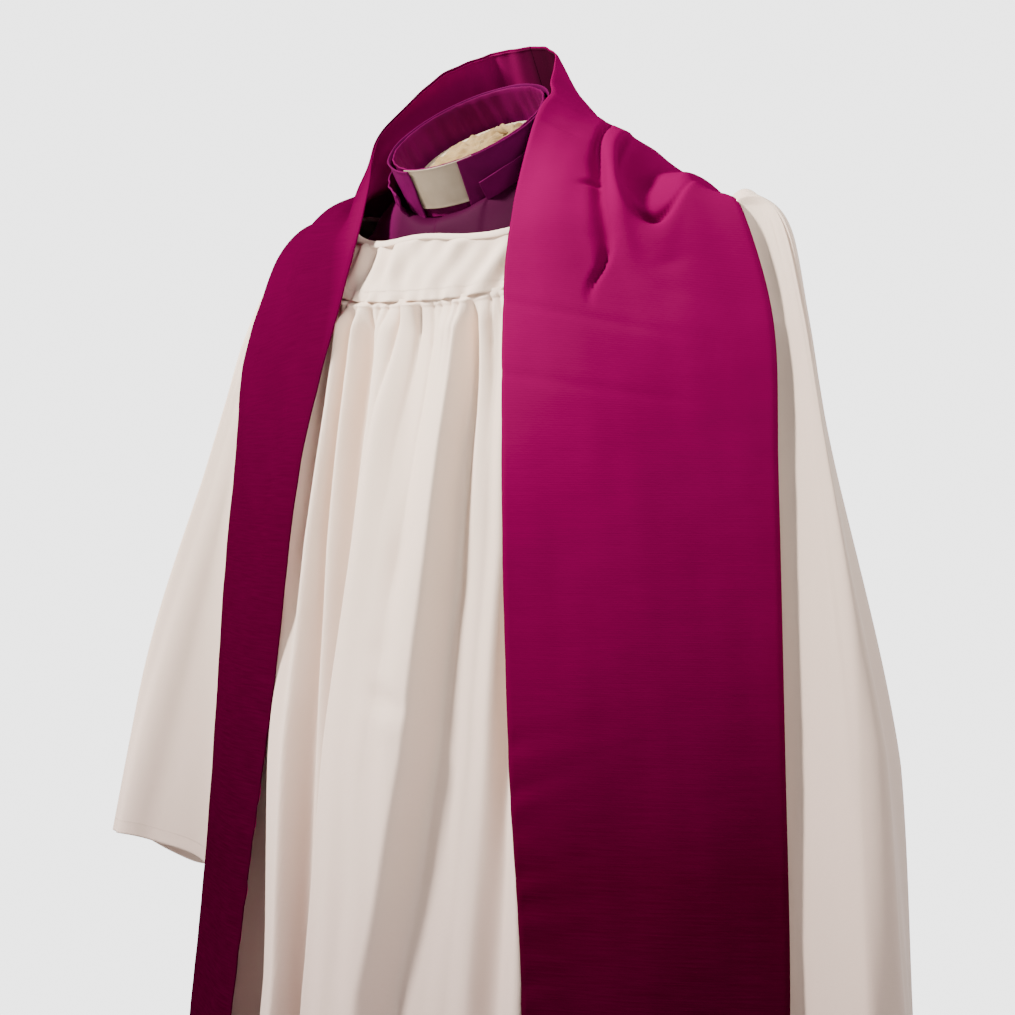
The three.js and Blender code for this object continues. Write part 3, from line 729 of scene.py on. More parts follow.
# Height, slant and the u it turns about, place and length along the cloth, place and width in u.
LEFT_SHOULDER_DENTS = [
    (-0.010, 0, 0, 0.165, 0.045, 0.62, 0.15),
    (0.0035, 0, 0, 0.24, 0.07, 0.22, 0.12),
    (-0.0035, 0.05, 0.40, 0.233, 0.0032, 0.395, 0.045),
    (-0.0008, 0.06, 0.70, 0.303, 0.005, 0.70, 0.05),
    (-0.0007, -0.05, 0.70, 0.324, 0.006, 0.69, 0.05),
    (-0.0014, -0.03, 0, 0.17, 0.004, 0.16, 0.09),
]
# Faint lines left by the press, below the shoulder.
PRESS_LINES = (0.342, 0.392)


def left_shoulder_folds(u, s):
    """The wearer's left half buckles where it turns over the shoulder."""
    # The first crease, beside the neck: soft towards the neck, crisp on its far side.
    path = [
        (0.115, 0.27), (0.15, 0.295), (0.17, 0.325), (0.207, 0.40), (0.232, 0.445),
        (0.270, 0.475), (0.292, 0.474), (0.304, 0.455), (0.314, 0.425), (0.326, 0.375),
    ]
    near = np.interp(s, [0.11, 0.17, 0.21, 0.285, 0.31], [0.010, 0.013, 0.040, 0.048, 0.014])
    far = np.interp(s, [0.11, 0.17, 0.21, 0.285, 0.31], [0.010, 0.014, 0.018, 0.020, 0.013])
    centre = np.interp(s, *zip(*path))
    lift = crease(u, s, path, np.where(u < centre, near, far), -0.0070)
    ridge = [(0.14, 0.36), (0.19, 0.43), (0.254, 0.535), (0.29, 0.55)]
    lift += crease(u, s, ridge, 0.045, 0.005, 0.03)
    # The hollow beyond it: a steep side towards the neck, a soft one away, and a crisp curved end.
    hollow = np.interp(s, [0.13, 0.178, 0.218, 0.262, 0.28], [0.41, 0.475, 0.57, 0.655, 0.67])
    steep = np.interp(s, [0.13, 0.18, 0.22, 0.262], [0.025, 0.040, 0.055, 0.085])
    soft = np.interp(s, [0.13, 0.18, 0.22, 0.262], [0.09, 0.14, 0.18, 0.18])
    end = 0.276 - 1.9 * (u - 0.665) ** 2
    deep = smooth_step(0.10, 0.19, s) * (1 - smooth_step(end - 0.013, end, s))
    depth = np.interp(s, [0.20, 0.25], [0.016, 0.010])
    lift -= depth * deep * bump_at(u, hollow, np.where(u < hollow, steep, soft))
    lift -= 0.0075 * bump_at(s, end - 0.008, 0.0065) * bump_at(u, 0.665, 0.115)
    lift += 0.0010 * bump_at(s, end + 0.010, 0.010) * bump_at(u, 0.665, 0.09)
    for height, slant, turn, place, length, across, width in LEFT_SHOULDER_DENTS:
        lift += height * bump_at(s + slant * (u - turn), place, length) * bump_at(u, across, width)
    for place in PRESS_LINES:
        lift += -0.0007 * bump_at(s - 0.02 * u, place, 0.004) * (1 - smooth_step(0.4, 0.9, u))
    return lift


# Each fold's path of (s, u) points, then its width, how far it stands out, and its fade.
RIGHT_SHOULDER_FOLDS = [
    ([(0.13, 0.24), (0.18, 0.27), (0.22, 0.24), (0.25, 0.16)], 0.055, -0.009, 0.025),
    ([(0.15, 0.50), (0.21, 0.46), (0.27, 0.36), (0.34, 0.22)], 0.09, 0.004, 0.04),
    ([(0.16, 0.70), (0.21, 0.68), (0.25, 0.62), (0.31, 0.50)], 0.08, -0.005, 0.035),
    ([(0.18, 0.88), (0.26, 0.84), (0.34, 0.72)], 0.10, 0.003, 0.04),
    ([(0.32, 0.62), (0.38, 0.52), (0.44, 0.30)], 0.12, -0.0025, 0.04),
    ([(0.36, 0.86), (0.42, 0.72), (0.50, 0.50)], 0.13, 0.0025, 0.04),
]


def right_shoulder_folds(u, s):
    """The wearer's right half has softer folds, and a pocket close to the neck."""
    return sum(crease(u, s, *fold) for fold in RIGHT_SHOULDER_FOLDS)


INNER_EDGE_CREASES = (0.655, 0.688, 0.716, 0.748, 0.772, 0.803, 0.826, 0.862)


def inner_edge_creases(u, s):
    """Short soft creases that run in from the front panel's inner edge."""
    lift = np.zeros(np.broadcast(u, s).shape)
    for index, place in enumerate(INNER_EDGE_CREASES):
        depth = 0.0016 + 0.0008 * math.sin(2.3 * index)
        reach = 0.12 + 0.05 * math.sin(1.7 * index + 1)
        slanted = s + (0.05 + 0.03 * math.sin(index)) * (u - 0.05)
        inside = np.exp(-u / reach) * smooth_step(-0.01, 0.03, u)
        lift -= depth * bump_at(slanted, place, 0.0065) * inside
        lift += 0.8 * depth * bump_at(slanted, place + 0.012, 0.007) * inside
    return lift


def stole_lift(side, u, s):
    """How far the folds lift the stole off its smooth shape."""
    rng = np.random.default_rng(31 if side > 0 else 47)
    across = u * STOLE_WIDTH
    if side > 0:
        lift = left_shoulder_folds(u, s) + inner_edge_creases(u, s)
    else:
        lift = right_shoulder_folds(u, s) + 0.7 * inner_edge_creases(u, s + 0.04)
    lift = lift + 0.0012 * surface_noise(across, 0.5 * s, 0.09, 0.22, 7, rng)
    lift = lift + 0.0002 * surface_noise(across, 0.8 * s, 0.025, 0.06, 9, rng)
    hanging = 0.004 * smooth_step(0.35, 0.5, s) * smooth_step(0.5, 1.2, s)
    lift = lift + hanging * np.sin(2 * math.pi * (u * 0.9 + 0.5 * s + 0.2 * side))
    behind = 1 - smooth_step(0.08, 0.17, s)
    around = s * side
    soft = 0.0007 * np.sin(2 * math.pi * (around / 0.053 + 0.5 * u)) * bump_at(u, 0.35, 0.28)
    lift = lift + behind * (soft + 0.0005 * np.sin(2 * math.pi * (around / 0.026 + 0.7 * u + 0.3)))
    edge = np.minimum(across, STOLE_WIDTH - across)
    lift = lift * smooth_step(-0.002, 0.022, s)
    return lift - 0.0010 * np.exp(-((edge / 0.0022) ** 2))


def make_stole(name, side):
    us = edge_columns(72)
    vs = np.linspace(0, 1, STOLE_ROWS)
    base = stole_base(side, us, vs)
    normals = grid_normals(base) * side
    steps = np.linalg.norm(np.diff(base[:, base.shape[1] // 2], axis=0), axis=-1)
    down = np.concatenate([[0], np.cumsum(steps)])
    u, s = np.meshgrid(us, down)
    face = base + normals * stole_lift(side, u, s)[..., None]
    off_seam = face[:1, :, 0] - side * BACK_SEAM_GAP
    face[..., 0] -= off_seam * np.exp(-down / 0.006)[:, None]
    face_normals = grid_normals(face) * side
    uv = np.stack([u * STOLE_WIDTH, s], axis=-1)
    node = "stole_left" if side > 0 else "stole_right"
    obj = grid_object(name, face, uv, SILK, thickness=SILK_THICKNESS, offset=-side)
    finish_piece(obj, "stole", "magenta_silk", node)
    inset = slice(1, -1)
    under = (face - face_normals * STOLE_LINING_GAP)[:-2, inset]
    lining = grid_object(
        f"{name}_lining", under, uv[:-2, inset], LINING, thickness=LINING_THICKNESS, offset=-side
    )
    finish_piece(lining, "stole", "stole_lining", node.replace("stole_", "stole_lining_"))


make_stole("stole_panel_left", 1)
make_stole("stole_panel_right", -1)

# ---------------------------------------------------------------- the surplice

# Folds down the front, from the wearer's right: X in millimetres where each one crosses the
# LEVEL_HEIGHTS, then how far it stands out there.
LEVEL_HEIGHTS = (1.275, 1.2, 1.1, 0.95, 0.76)
LEVEL_HALF_WIDTHS = (0.210, 0.229, 0.2365, 0.253, 0.283)
FRONT_FOLDS = [
    (-140, -148, -152, -158, -160, -5, -9, -14, -20, -18),
    (-108, -120, -128, -126, -118, 6, 12, 15, 10, 6),
    (-97, -107, -114, -112, -108, -6, -5, 0, 8, 9),
    (-85, -90, -97, -97, -93, 7, 9, 11, 13, 13),
    (-77, -81, -85, -87, -84, -9, -13, -15, -13, -13),
    (-70, -71, -73, -78, -76, 7, 7, 4, -8, -12),
    (-60, -58, -57, -64, -67, -9, -14, -15, -16, -14),
    (-38, -31, -30, -40, -52, 8, 12, 13, 13, 12),
    (-6, 3, 14, 5, -22, -7, -3, 5, 14, 14),
    (38, 45, 46, 43, 10, 8, 13, 16, 18, 17),
    (50, 56, 59, 60, 32, -9, -13, -13, -12, -11),
    (60, 66, 72, 74, 54, 3, -5, -10, -11, -10),
    (72, 78, 84, 86, 74, -5, -8, -9, -9, -8),
    (84, 90, 97, 100, 94, 4, -1, -5, -6, -6),
    (98, 104, 110, 116, 116, -7, -8, -12, -16, -16),
    (114, 119, 124, 131, 142, 5, 5, 6, 10, 13),
    (130, 136, 142, 150, 162, -5, -6, -6, -7, -7),
]
FOLD_SPACING = math.radians(9.5)


def fold_lines():
    """Every fold round the body: angles from the front, and lifts, at the LEVEL_HEIGHTS."""
    rng = np.random.default_rng(5)
    levels = len(LEVEL_HEIGHTS)
    lines = []
    for row in FRONT_FOLDS:
        places = np.arcsin(np.array(row[:levels]) * MM / LEVEL_HALF_WIDTHS)
        lines.append((places, np.array(row[levels:]) * MM))
    start = lines[-1][0].copy()
    end = lines[0][0] + 2 * math.pi
    count = int(round(float((end - start).mean()) / FOLD_SPACING))
    count += count % 2
    steps = rng.uniform(0.65, 1.35, count)
    shares = np.cumsum(steps)[:-1] / steps.sum()
    for index, share in enumerate(shares):
        places = start + (end - start) * share + rng.normal(0, 0.012, levels)
        height = rng.uniform(5, 13) * MM
        sign = 1 if index % 2 == 0 else -0.7
        lines.append((places, sign * height * np.array([0.25, 0.5, 0.7, 0.9, 1.0])))
    return lines


def broad_folds(places, heights):
    """Lift of the broad folds at angles from the front (columns) and heights (rows)."""
    lines = fold_lines()
    order = np.array(LEVEL_HEIGHTS)[::-1]
    angles = np.stack([np.interp(heights, order, line[0][::-1]) for line in lines], axis=1)
    lifts = np.stack([np.interp(heights, order, line[1][::-1]) for line in lines], axis=1)
    result = np.zeros((len(heights), len(places)))
    for row in range(len(heights)):
        a = angles[row]
        rank = np.argsort(a)
        a = a[rank]
        h = lifts[row][rank]
        a = np.concatenate([a - 2 * math.pi, a, a + 2 * math.pi])
        h = np.concatenate([h, h, h])
        index = np.clip(np.searchsorted(a, places) - 1, 0, len(a) - 2)
        gap = np.maximum(a[index + 1] - a[index], 1e-6)
        t = smooth_step(0, 1, (places - a[index]) / gap)
        result[row] = h[index] * (1 - t) + h[index + 1] * t
    return result


def periodic_noise(angles, drop, low, high, count, rng, sway):
    """A wave round the ring with between low and high folds, swaying as it drops."""
    total = np.zeros((len(drop), len(angles)))
    for _ in range(count):
        folds = rng.integers(low, high + 1)
        phase = rng.uniform(0, 2 * math.pi)
        swing = rng.normal(0, sway)
        total += np.sin(folds * angles[None, :] + phase + swing * np.sin(drop[:, None] * 6 + phase))
    return total / math.sqrt(count)


CHEST_RADIUS = 0.245
# Height, slant, level and length along Z, then place and width along X.
FRONT_DENTS = [
    (-0.0045, 0.28, 0.985, 0.0075, 0.024, 0.018),
    (0.0015, 0.28, 0.968, 0.010, 0.022, 0.022),
    (-0.0030, 0, 1.09, 0.028, 0.014, 0.009),
    (-0.0018, 0, 1.02, 0.014, 0.008, 0.012),
    (-0.0020, 0, 1.07, 0.022, 0.062, 0.012),
]


def front_dents(places, z):
    """Small soft dents and a pucker on the big fold at the front."""
    x = CHEST_RADIUS * np.sin(places)[None, :]
    facing = (np.cos(places) > 0)[None, :]
    lift = np.zeros(np.broadcast(x, z).shape)
    for height, slant, level, length, across, width in FRONT_DENTS:
        slanted = z + slant * (x - 0.018)
        lift += height * bump_at(slanted, level, length) * bump_at(x, across, width)
    return lift * facing


def gathers(angles, drop, count, height, rise, reach, rng):
    """Rounded puffs with sharp valleys between them. Each one runs down as far as its own reach."""
    widths = rng.uniform(0.45, 1.55, count)
    edges = np.concatenate([[0], np.cumsum(widths)]) / widths.sum() * 2 * math.pi
    tall = height * rng.uniform(0.55, 1.35, count) * np.sqrt(widths)
    long = reach * rng.uniform(0.5, 1.6, count)
    lift = np.zeros((len(drop), len(angles)))
    shift = 0.02 * np.sin(3 * angles + 1)
    for row, s in enumerate(drop):
        a = np.mod(angles + shift * s / 0.1 + 0.004 * np.sin(40 * s + 9 * angles), 2 * math.pi)
        cell = np.clip(np.searchsorted(edges, a) - 1, 0, count - 1)
        t = (a - edges[cell]) / (edges[cell + 1] - edges[cell])
        puff = np.sqrt(np.clip(1 - np.abs(2 * t - 1) ** 2.6, 0, 1))
        lift[row] = tall[cell] * puff * np.exp(-s / long[cell]) * smooth_step(0, rise, s)
    return lift


def body_lift(angles, drop, heights):
    """Gathers just under the yoke, running out into broad folds."""
    rng = np.random.default_rng(8)
    places = np.mod(angles - 1.5 * math.pi + math.pi, 2 * math.pi) - math.pi
    s = drop[:, None]
    fine = gathers(angles, drop, 112, 0.0080, 0.004, 0.034, rng)
    fine -= 0.0052 * smooth_step(0, 0.005, s) * np.exp(-s / 0.045)
    mid = gathers(angles, drop, 40, 0.0062, 0.025, 0.14, rng)
    mid -= 0.0042 * smooth_step(0, 0.025, s) * np.exp(-s / 0.15)
    broad = broad_folds(places, heights) * smooth_step(0, 0.025, s)
    broad = broad + front_dents(places, heights[:, None])
    fine = np.maximum(fine + mid + broad, -0.0105 - 0.02 * smooth_step(0.1, 0.3, s))
    wrinkle = 0.0007 * periodic_noise(angles, drop * 2, 24, 60, 8, rng, 1.6)
    return fine + wrinkle * smooth_step(0.02, 0.2, s)


def from_hem_uv(points):
    """UVs in metres: across, and up from the lower edge."""
    uv = grid_uv(points)
    uv[..., 1] = uv[-1, 0, 1] - uv[..., 1]
    return uv


BODY_COLUMNS = 520


def body_levels():
    near_seam = np.linspace(YOKE_SEAM - 0.05, YOKE_SEAM + 1, 70, endpoint=False)
    return np.concatenate([near_seam, np.linspace(YOKE_SEAM + 1, SURPLICE_HEM, 120)])


def surplice_body(angles):
    """The front or back below the yoke, with its folds."""
    levels = body_levels()[:, None]
    lowered = 1 - smooth_step(YOKE_SEAM, YOKE_SEAM + 1, levels)
    levels = levels + seam_drop(angles)[None, :] * lowered
    base = ring_grid(SURPLICE_RINGS, angles, levels)
    normals = grid_normals(base)
    heights = base[..., 2].mean(axis=1)
    seam = ring_grid(SURPLICE_RINGS, angles, YOKE_SEAM + seam_drop(angles)[None, :])[0]
    depth = base[0, :, 1]
    centre = np.argmin(depth) if depth.min() < -0.05 else np.argmax(depth)
    centre_heights = base[:, centre, 2]
    drop = np.maximum(seam[centre, 2] - centre_heights, 0)
    lift = body_lift(angles, drop, np.where(drop < 0.2, centre_heights, heights))
    return base + normals * (lift - 0.0008)[..., None]


def neckline_level(angles):
    """The neckline is cut wide: it runs level across the chest, lower at the sides."""
    side = np.abs(np.cos(angles))
    reach = np.where(np.sin(angles) < 0, 1.05, 1.05 - 0.43 * np.sin(angles))
    return 0.13 + reach * (1 - np.exp(-((side / 0.48) ** 2)))


def seam_drop(angles):
    """How far the yoke's seam hangs below its ring in front, in steps between rings."""
    place = angles - 1.5 * math.pi
    sag = 0.03 + 0.17 * bump_at(place, -0.5, 0.3) + 0.09 * bump_at(place, 0.4, 0.3)
    return sag * smooth_step(0, 0.35, -np.sin(angles))


def shoulder_dent(points):
    """How far the stole presses the shoulders down."""
    x, y = points[..., 0], points[..., 1]
    both = 0.010 * bump_at(np.abs(x), 0.148, 0.042) * bump_at(y, -0.015, 0.055)
    return both + 0.007 * bump_at(x, 0.185, 0.045) * bump_at(y, -0.02, 0.06)


def yoke_shape(angles):
    """The front or back yoke, with diagonal wrinkles and a puckered seam."""
    rng = np.random.default_rng(12)
    top = neckline_level(angles)[None, :]
    share = np.linspace(0, 1, 48)[:, None]
    levels = top + (YOKE_SEAM + seam_drop(angles)[None, :] - top) * share
    base = ring_grid(SURPLICE_RINGS, angles, levels)
    normals = grid_normals(base)
    x, z = base[..., 0], base[..., 2]
    diagonal = np.zeros(x.shape)
    for _ in range(9):
        wavelength = math.exp(rng.uniform(math.log(0.018), math.log(0.05)))
        heading = rng.normal(math.radians(-33), 0.28)
        along = x * math.cos(heading) + z * math.sin(heading)
        diagonal += np.sin(2 * math.pi * along / wavelength + rng.uniform(0, 2 * math.pi))
    held = smooth_step(0, 0.15, share)
    pucker = 0.0008 * np.sin(angles * 95 + 2 * np.sin(angles * 13)) * smooth_step(0.85, 1, share)
    lift = 0.0025 * held * diagonal / 3 + pucker + 0.0012 - shoulder_dent(base)
    return base + normals * lift[..., None]


def make_surplice():
    """Makes the yoke and the body, and gives the body's points all the way round."""
    bodies = []
    for half, back in (("front", False), ("back", True)):
        start = 0.0 if back else math.pi
        angles = np.linspace(start, start + math.pi, BODY_COLUMNS)
        yoke = yoke_shape(angles)
        obj = grid_object(
            f"surplice_yoke_{half}",
            yoke,
            from_hem_uv(yoke),
            COTTON_SEAM,
            thickness=COTTON_THICKNESS,
        )
        finish_piece(obj, "form", "white_cotton", f"yoke_{half}")
        body = surplice_body(angles)
        obj = grid_object(
            f"surplice_body_{half}",
            body,
            from_hem_uv(body),
            COTTON_HEM,
            thickness=COTTON_THICKNESS,
        )
        finish_piece(obj, "form", "white_cotton", f"body_{half}", f"hem_{half}")
        bodies.append(body)
    return np.concatenate([bodies[0], bodies[1][:, 1:]], axis=1)


BODY = make_surplice()


def make_neck_binding():
    """The narrow folded edge of the neckline: its profile runs from the inside over the top."""
    angles = np.linspace(0, 2 * math.pi, 360, endpoint=False)
    down = np.array([0.13, 0.10, 0.07, 0.03, 0.0, -0.012, -0.01, 0.0, 0.03])
    out = np.array([0.0010, 0.0015, 0.0016, 0.0016, 0.0013, 0.0008, 0.0, -0.0006, -0.0008])
    top = neckline_level(angles)[None, :]
    base = ring_grid(SURPLICE_RINGS, angles, top + np.maximum(down, 0)[:, None])
    base[..., 2] += (np.minimum(down, 0) * -0.1)[:, None]
    rising = ring_grid(SURPLICE_RINGS, angles, top + np.linspace(0, 0.2, 9)[:, None])
    normals = grid_normals(rising, True)
    ripple = 0.0002 * np.sin(angles * 41 + 2 * np.sin(angles * 7))[None, :]
    points = base + normals * (out[:, None] + ripple - shoulder_dent(base))[..., None]
    obj = grid_object("neck_edge", points, grid_uv(points), COTTON, True, 0.0006, -1)
    finish_piece(obj, "form", "white_cotton", "neck_binding")


make_neck_binding()

# ---------------------------------------------------------------- the sleeves


def panel_edges(z):
    """The stole's inner and outer edge in plan at heights z, where it hangs before the sleeve."""
    panel = np.array(STOLE_STATIONS[CHEST_STATION:], float) * MM
    heights = panel[::-1, 8]
    inner = np.stack([np.interp(z, heights, panel[::-1, axis]) for axis in (0, 1)], axis=-1)
    outer = np.stack([np.interp(z, heights, panel[::-1, axis]) for axis in (6, 7)], axis=-1)
    return inner, outer


def tuck_behind_stole(points, depth):
    """Lays the wearer's left sleeve behind the stole's panel."""
    inner, outer = panel_edges(points[..., 2])
    across = outer - inner
    across /= np.linalg.norm(across, axis=-1, keepdims=True)
    forward = np.stack([across[..., 1], -across[..., 0]], axis=-1)
    from_edge = points[..., :2] - outer
    ahead = (from_edge * forward).sum(axis=-1) + depth
    ahead = np.where(ahead > 0, ahead, 0)
    held = 1 - smooth_step(0, TUCK_FADE, (from_edge * across).sum(axis=-1))
    moved = points.copy()
    moved[..., :2] -= forward * (ahead * held)[..., None]
    return moved


def sleeve_shape(angles, levels, side, fill=1.0):
    """The wearer's left sleeve before it is tucked; the right one is its mirror image."""
    rows = catmull_rom(SLEEVE_RINGS, levels)
    out, forward, z, half_length, half_thickness, tilt = (rows[:, i, None] * MM for i in range(6))
    c = np.cos(angles)[None, :]
    s = np.sin(angles)[None, :]
    long = c * half_length * fill
    short = s * half_thickness * fill
    drop = LEFT_SLEEVE_DROP * MM * np.maximum(levels - DROP_START, 0)[:, None] if side > 0 else 0
    x = out + long * math.cos(SLEEVE_TURN) + short * math.sin(SLEEVE_TURN)
    y = -forward - long * math.sin(SLEEVE_TURN) + short * math.cos(SLEEVE_TURN)
    dip = HEM_DIP * smooth_step(3.2, len(SLEEVE_RINGS) - 1, levels)[:, None]
    dip = dip * smooth_step(0, 0.52, 1 - c)
    level_out = 1 - 0.7 * smooth_step(0.5, 1.7, 1 - c)
    return np.stack([x, y, z + tilt * c - drop - dip * level_out], axis=-1)


def sleeve_lift(angles, s, seed):
    """Gathers at the sleeve's head and soft folds down to the wrist."""
    rng = np.random.default_rng(seed)
    v = s[:, None]
    head = 0.0022 * smooth_step(0.01, 0.04, v) * np.exp(-v / 0.09)
    gathers = periodic_noise(angles, s, 22, 40, 8, rng, 0.5)
    long_folds = periodic_noise(angles, s, 3, 8, 5, rng, 0.8)
    soft = periodic_noise(angles, s, 9, 17, 6, rng, 1.0)
    return (
        head * gathers
        + 0.0050 * smooth_step(0.1, 0.45, v) * long_folds
        + 0.0016 * smooth_step(0.05, 0.25, v) * soft
    )


SEARCH_REACH = 0.08


def push_outside(points, tree, gap):
    """Moves points that lie inside a surface out to a gap from it."""
    flat = points.reshape(-1, 3)
    moved = flat.copy()
    for index, point in enumerate(flat):
        place, normal = tree.find_nearest(Vector(point), SEARCH_REACH)[:2]
        if place is None:
            continue
        outward = Vector((place.x, place.y, 0)).normalized()
        if normal.dot(outward) < 0:
            normal = -normal
        depth = (Vector(point) - place).dot(normal)
        if depth < gap:
            moved[index] = np.array(place + normal * gap)
    return moved.reshape(points.shape)


def make_sleeve(name, side, seed):
    """One sleeve with its closed head and its wadding."""
    angles = np.linspace(0, 2 * math.pi, 300, endpoint=False)
    last = len(SLEEVE_RINGS) - 1
    levels = np.concatenate([np.linspace(0, 1, 24, endpoint=False), np.linspace(1, last, 150)])
    base = sleeve_shape(angles, levels, side)
    steps = np.linalg.norm(np.diff(base.mean(axis=1), axis=0), axis=-1)
    s = np.concatenate([[0], np.cumsum(steps)])
    normals = grid_normals(base, True)
    points = base + normals * sleeve_lift(angles, s, seed)[..., None]
    cap = points[:1].mean(axis=1, keepdims=True)
    rise = np.array([0, 0, 0.004])
    rows = [cap + (points[:1] - cap) * t + rise * (1 - t**2) for t in (0.02, 0.3, 0.6, 0.85)]
    points = np.concatenate([*rows, points])
    points = tuck_behind_stole(points, TUCK_DEPTH - 0.002)
    points = points * np.array([side, 1, 1])
    points = push_outside(points, tree_of(BODY), 0.0035)
    obj = grid_object(
        f"surplice_sleeve_{name}",
        points,
        from_hem_uv(points),
        COTTON_HEM,
        round_u=True,
        thickness=COTTON_THICKNESS,
        offset=-side,
    )
    finish_piece(obj, "form", "white_cotton", f"sleeve_{name}", f"cuff_{name}")
    make_sleeve_padding(name, side, angles, seed)


def make_sleeve_padding(name, side, angles, seed):
    """A lumpy roll of wadding with rounded ends, inside the sleeve."""
    rng = np.random.default_rng(seed + 1)
    rows = 40
    levels = np.linspace(1.2, 3.8, rows)
    points = sleeve_shape(angles[::3], levels, side, 0.62)
    middle = points.mean(axis=1, keepdims=True)
    ends = 1 - np.abs(np.linspace(-1, 1, rows)) ** 6
    ends = np.sqrt(np.clip(ends, 0.0004, 1))[:, None, None]
    points = middle + (points - middle) * ends
    lumps = 0.0025 * periodic_noise(angles[::3], levels, 3, 11, 6, rng, 1.5)[..., None]
    points = points + lumps * (points - middle) / 0.04
    points = tuck_behind_stole(points, TUCK_DEPTH + 0.01) * np.array([side, 1, 1])
    obj = grid_object(f"sleeve_wadding_{name}", points, grid_uv(points), CALICO, True)
    close_ends(obj)
    finish_piece(obj, "form", "calico", f"sleeve_padding_{name}")


make_sleeve("left", 1, 61)
make_sleeve("right", -1, 62)

# ------------------------------------------------------------ the collar and the purple garment

LINING_RADIUS = 0.0632
BAND_RADIUS = 0.0675
TAB_RADIUS = 0.0654
TAB_WIDTH = 0.066
STANDING_RADIUS = 0.0715
BAND_FOOT = -0.042
RIM_WIDTH = 0.0016
NECK_RADIUS = 0.056


def collar_place(angles, radius, height):
    """Points round the collar's tilted axis. Angle 0 is its front, going to the wearer's left."""
    a = angles - math.pi / 2 + COLLAR_TURN
    x = radius * np.cos(a)
    y = radius * np.sin(a)
    z = height + np.zeros_like(x)
    tilted_y = y * math.cos(COLLAR_TILT) - z * math.sin(COLLAR_TILT)
    tilted_z = y * math.sin(COLLAR_TILT) + z * math.cos(COLLAR_TILT)
    return np.stack([x, tilted_y, tilted_z], axis=-1) + np.array(COLLAR_CENTRE)


def band_piece(name, radius, low, high, span, material, seed, ripple=0.0, pleats=0.0,
               thickness=0.0014, bead=0.0007, columns=240, lean=0.0):
    """A curved band with a rolled rim. span is (from, to) in degrees, or None for a full ring."""
    rng = np.random.default_rng(seed)
    full = span is None
    start, end = (0, 360) if full else span
    angles = np.radians(np.linspace(start, end, columns, endpoint=not full))
    heights = np.linspace(high, low, 36)
    a, h = np.meshgrid(angles, heights)
    t = (high - h) / (high - low)
    a = a - lean * t
    r = radius + ripple * surface_noise(a * radius, h, 0.02, 0.06, 8, rng)
    teeth = np.sin(a * 23 + 1.5 * np.sin(a * 5) + 2 * t) * np.sin(a * 11 + 1)
    r = r + pleats * teeth * bump_at(t, 0.45, 0.5)
    from_rim = t * (high - low)
    rim = bump_at(from_rim, 0, RIM_WIDTH) + bump_at(from_rim, high - low, RIM_WIDTH)
    points = collar_place(a, r + bead * rim, h)
    uv = np.stack([a * radius, h], axis=-1)
    obj = grid_object(name, points, uv, material, full, thickness, 0)
    soften_rim(obj)
    return obj


def make_collar():
    """The shirt collar's lining and band, and the tab that shows in the band's gap."""
    lining = band_piece(
        "collar_lining", LINING_RADIUS, BAND_FOOT, 0, None, PURPLE_SATIN, 3, 0.0003, 0.0011
    )
    finish_piece(lining, "form", "purple_cloth", "shirt_collar_inner")
    notch_right, notch_left = 21.5, 18.5
    gap = (notch_left, 360 - notch_right)
    band = band_piece(
        "collar_band", BAND_RADIUS, BAND_FOOT, 0.0002, gap, PURPLE_COLLAR, 4, 0.0003, lean=0.07
    )
    finish_piece(band, "form", "purple_cloth", "shirt_collar_outer")
    half = math.degrees(TAB_WIDTH / TAB_RADIUS) / 2
    tab = band_piece(
        "tab_insert", TAB_RADIUS, -0.034, 0, (-half, half), TAB, 5, thickness=0.0011,
        bead=0.0003, columns=90,
    )
    finish_piece(tab, "tab", "cream_tab", "collar_tab")
    make_standing_collar()


def make_standing_collar():
    """The outer garment's collar: stiff, with turned-back corners and a crumpled right end."""
    rng = np.random.default_rng(9)
    angles = np.radians(np.linspace(27, 360 - 38, 300))
    t = np.linspace(0, 1, 34)
    a, down = np.meshgrid(angles, t)
    from_left = (a - angles[0]) * STANDING_RADIUS
    from_right = (angles[-1] - a) * STANDING_RADIUS
    top = -0.013 - 0.006 * np.exp(-from_left / 0.06) - 0.005 * np.exp(-from_right / 0.012)
    low = -0.041
    height = top + (low - top) * down
    flare = 0.0045 * np.exp(-from_left / 0.016) * (1 - down)
    flare += 0.006 * np.exp(-from_right / 0.02) * (1 - 0.5 * down)
    crumple = 0.0016 * surface_noise(a * STANDING_RADIUS, height, 0.010, 0.024, 9, rng)
    ripple = 0.0003 * surface_noise(a * 0.07, height, 0.02, 0.06, 7, rng)
    radius = STANDING_RADIUS + flare + crumple * np.exp(-from_right / 0.035) + ripple
    points = collar_place(a, radius, height)
    uv = np.stack([a * STANDING_RADIUS, height], axis=-1)
    obj = grid_object("standing_collar", points, uv, PURPLE_COLLAR, False, 0.0015, 0)
    soften_rim(obj)
    finish_piece(obj, "form", "purple_cloth", "cassock_collar")


make_collar()


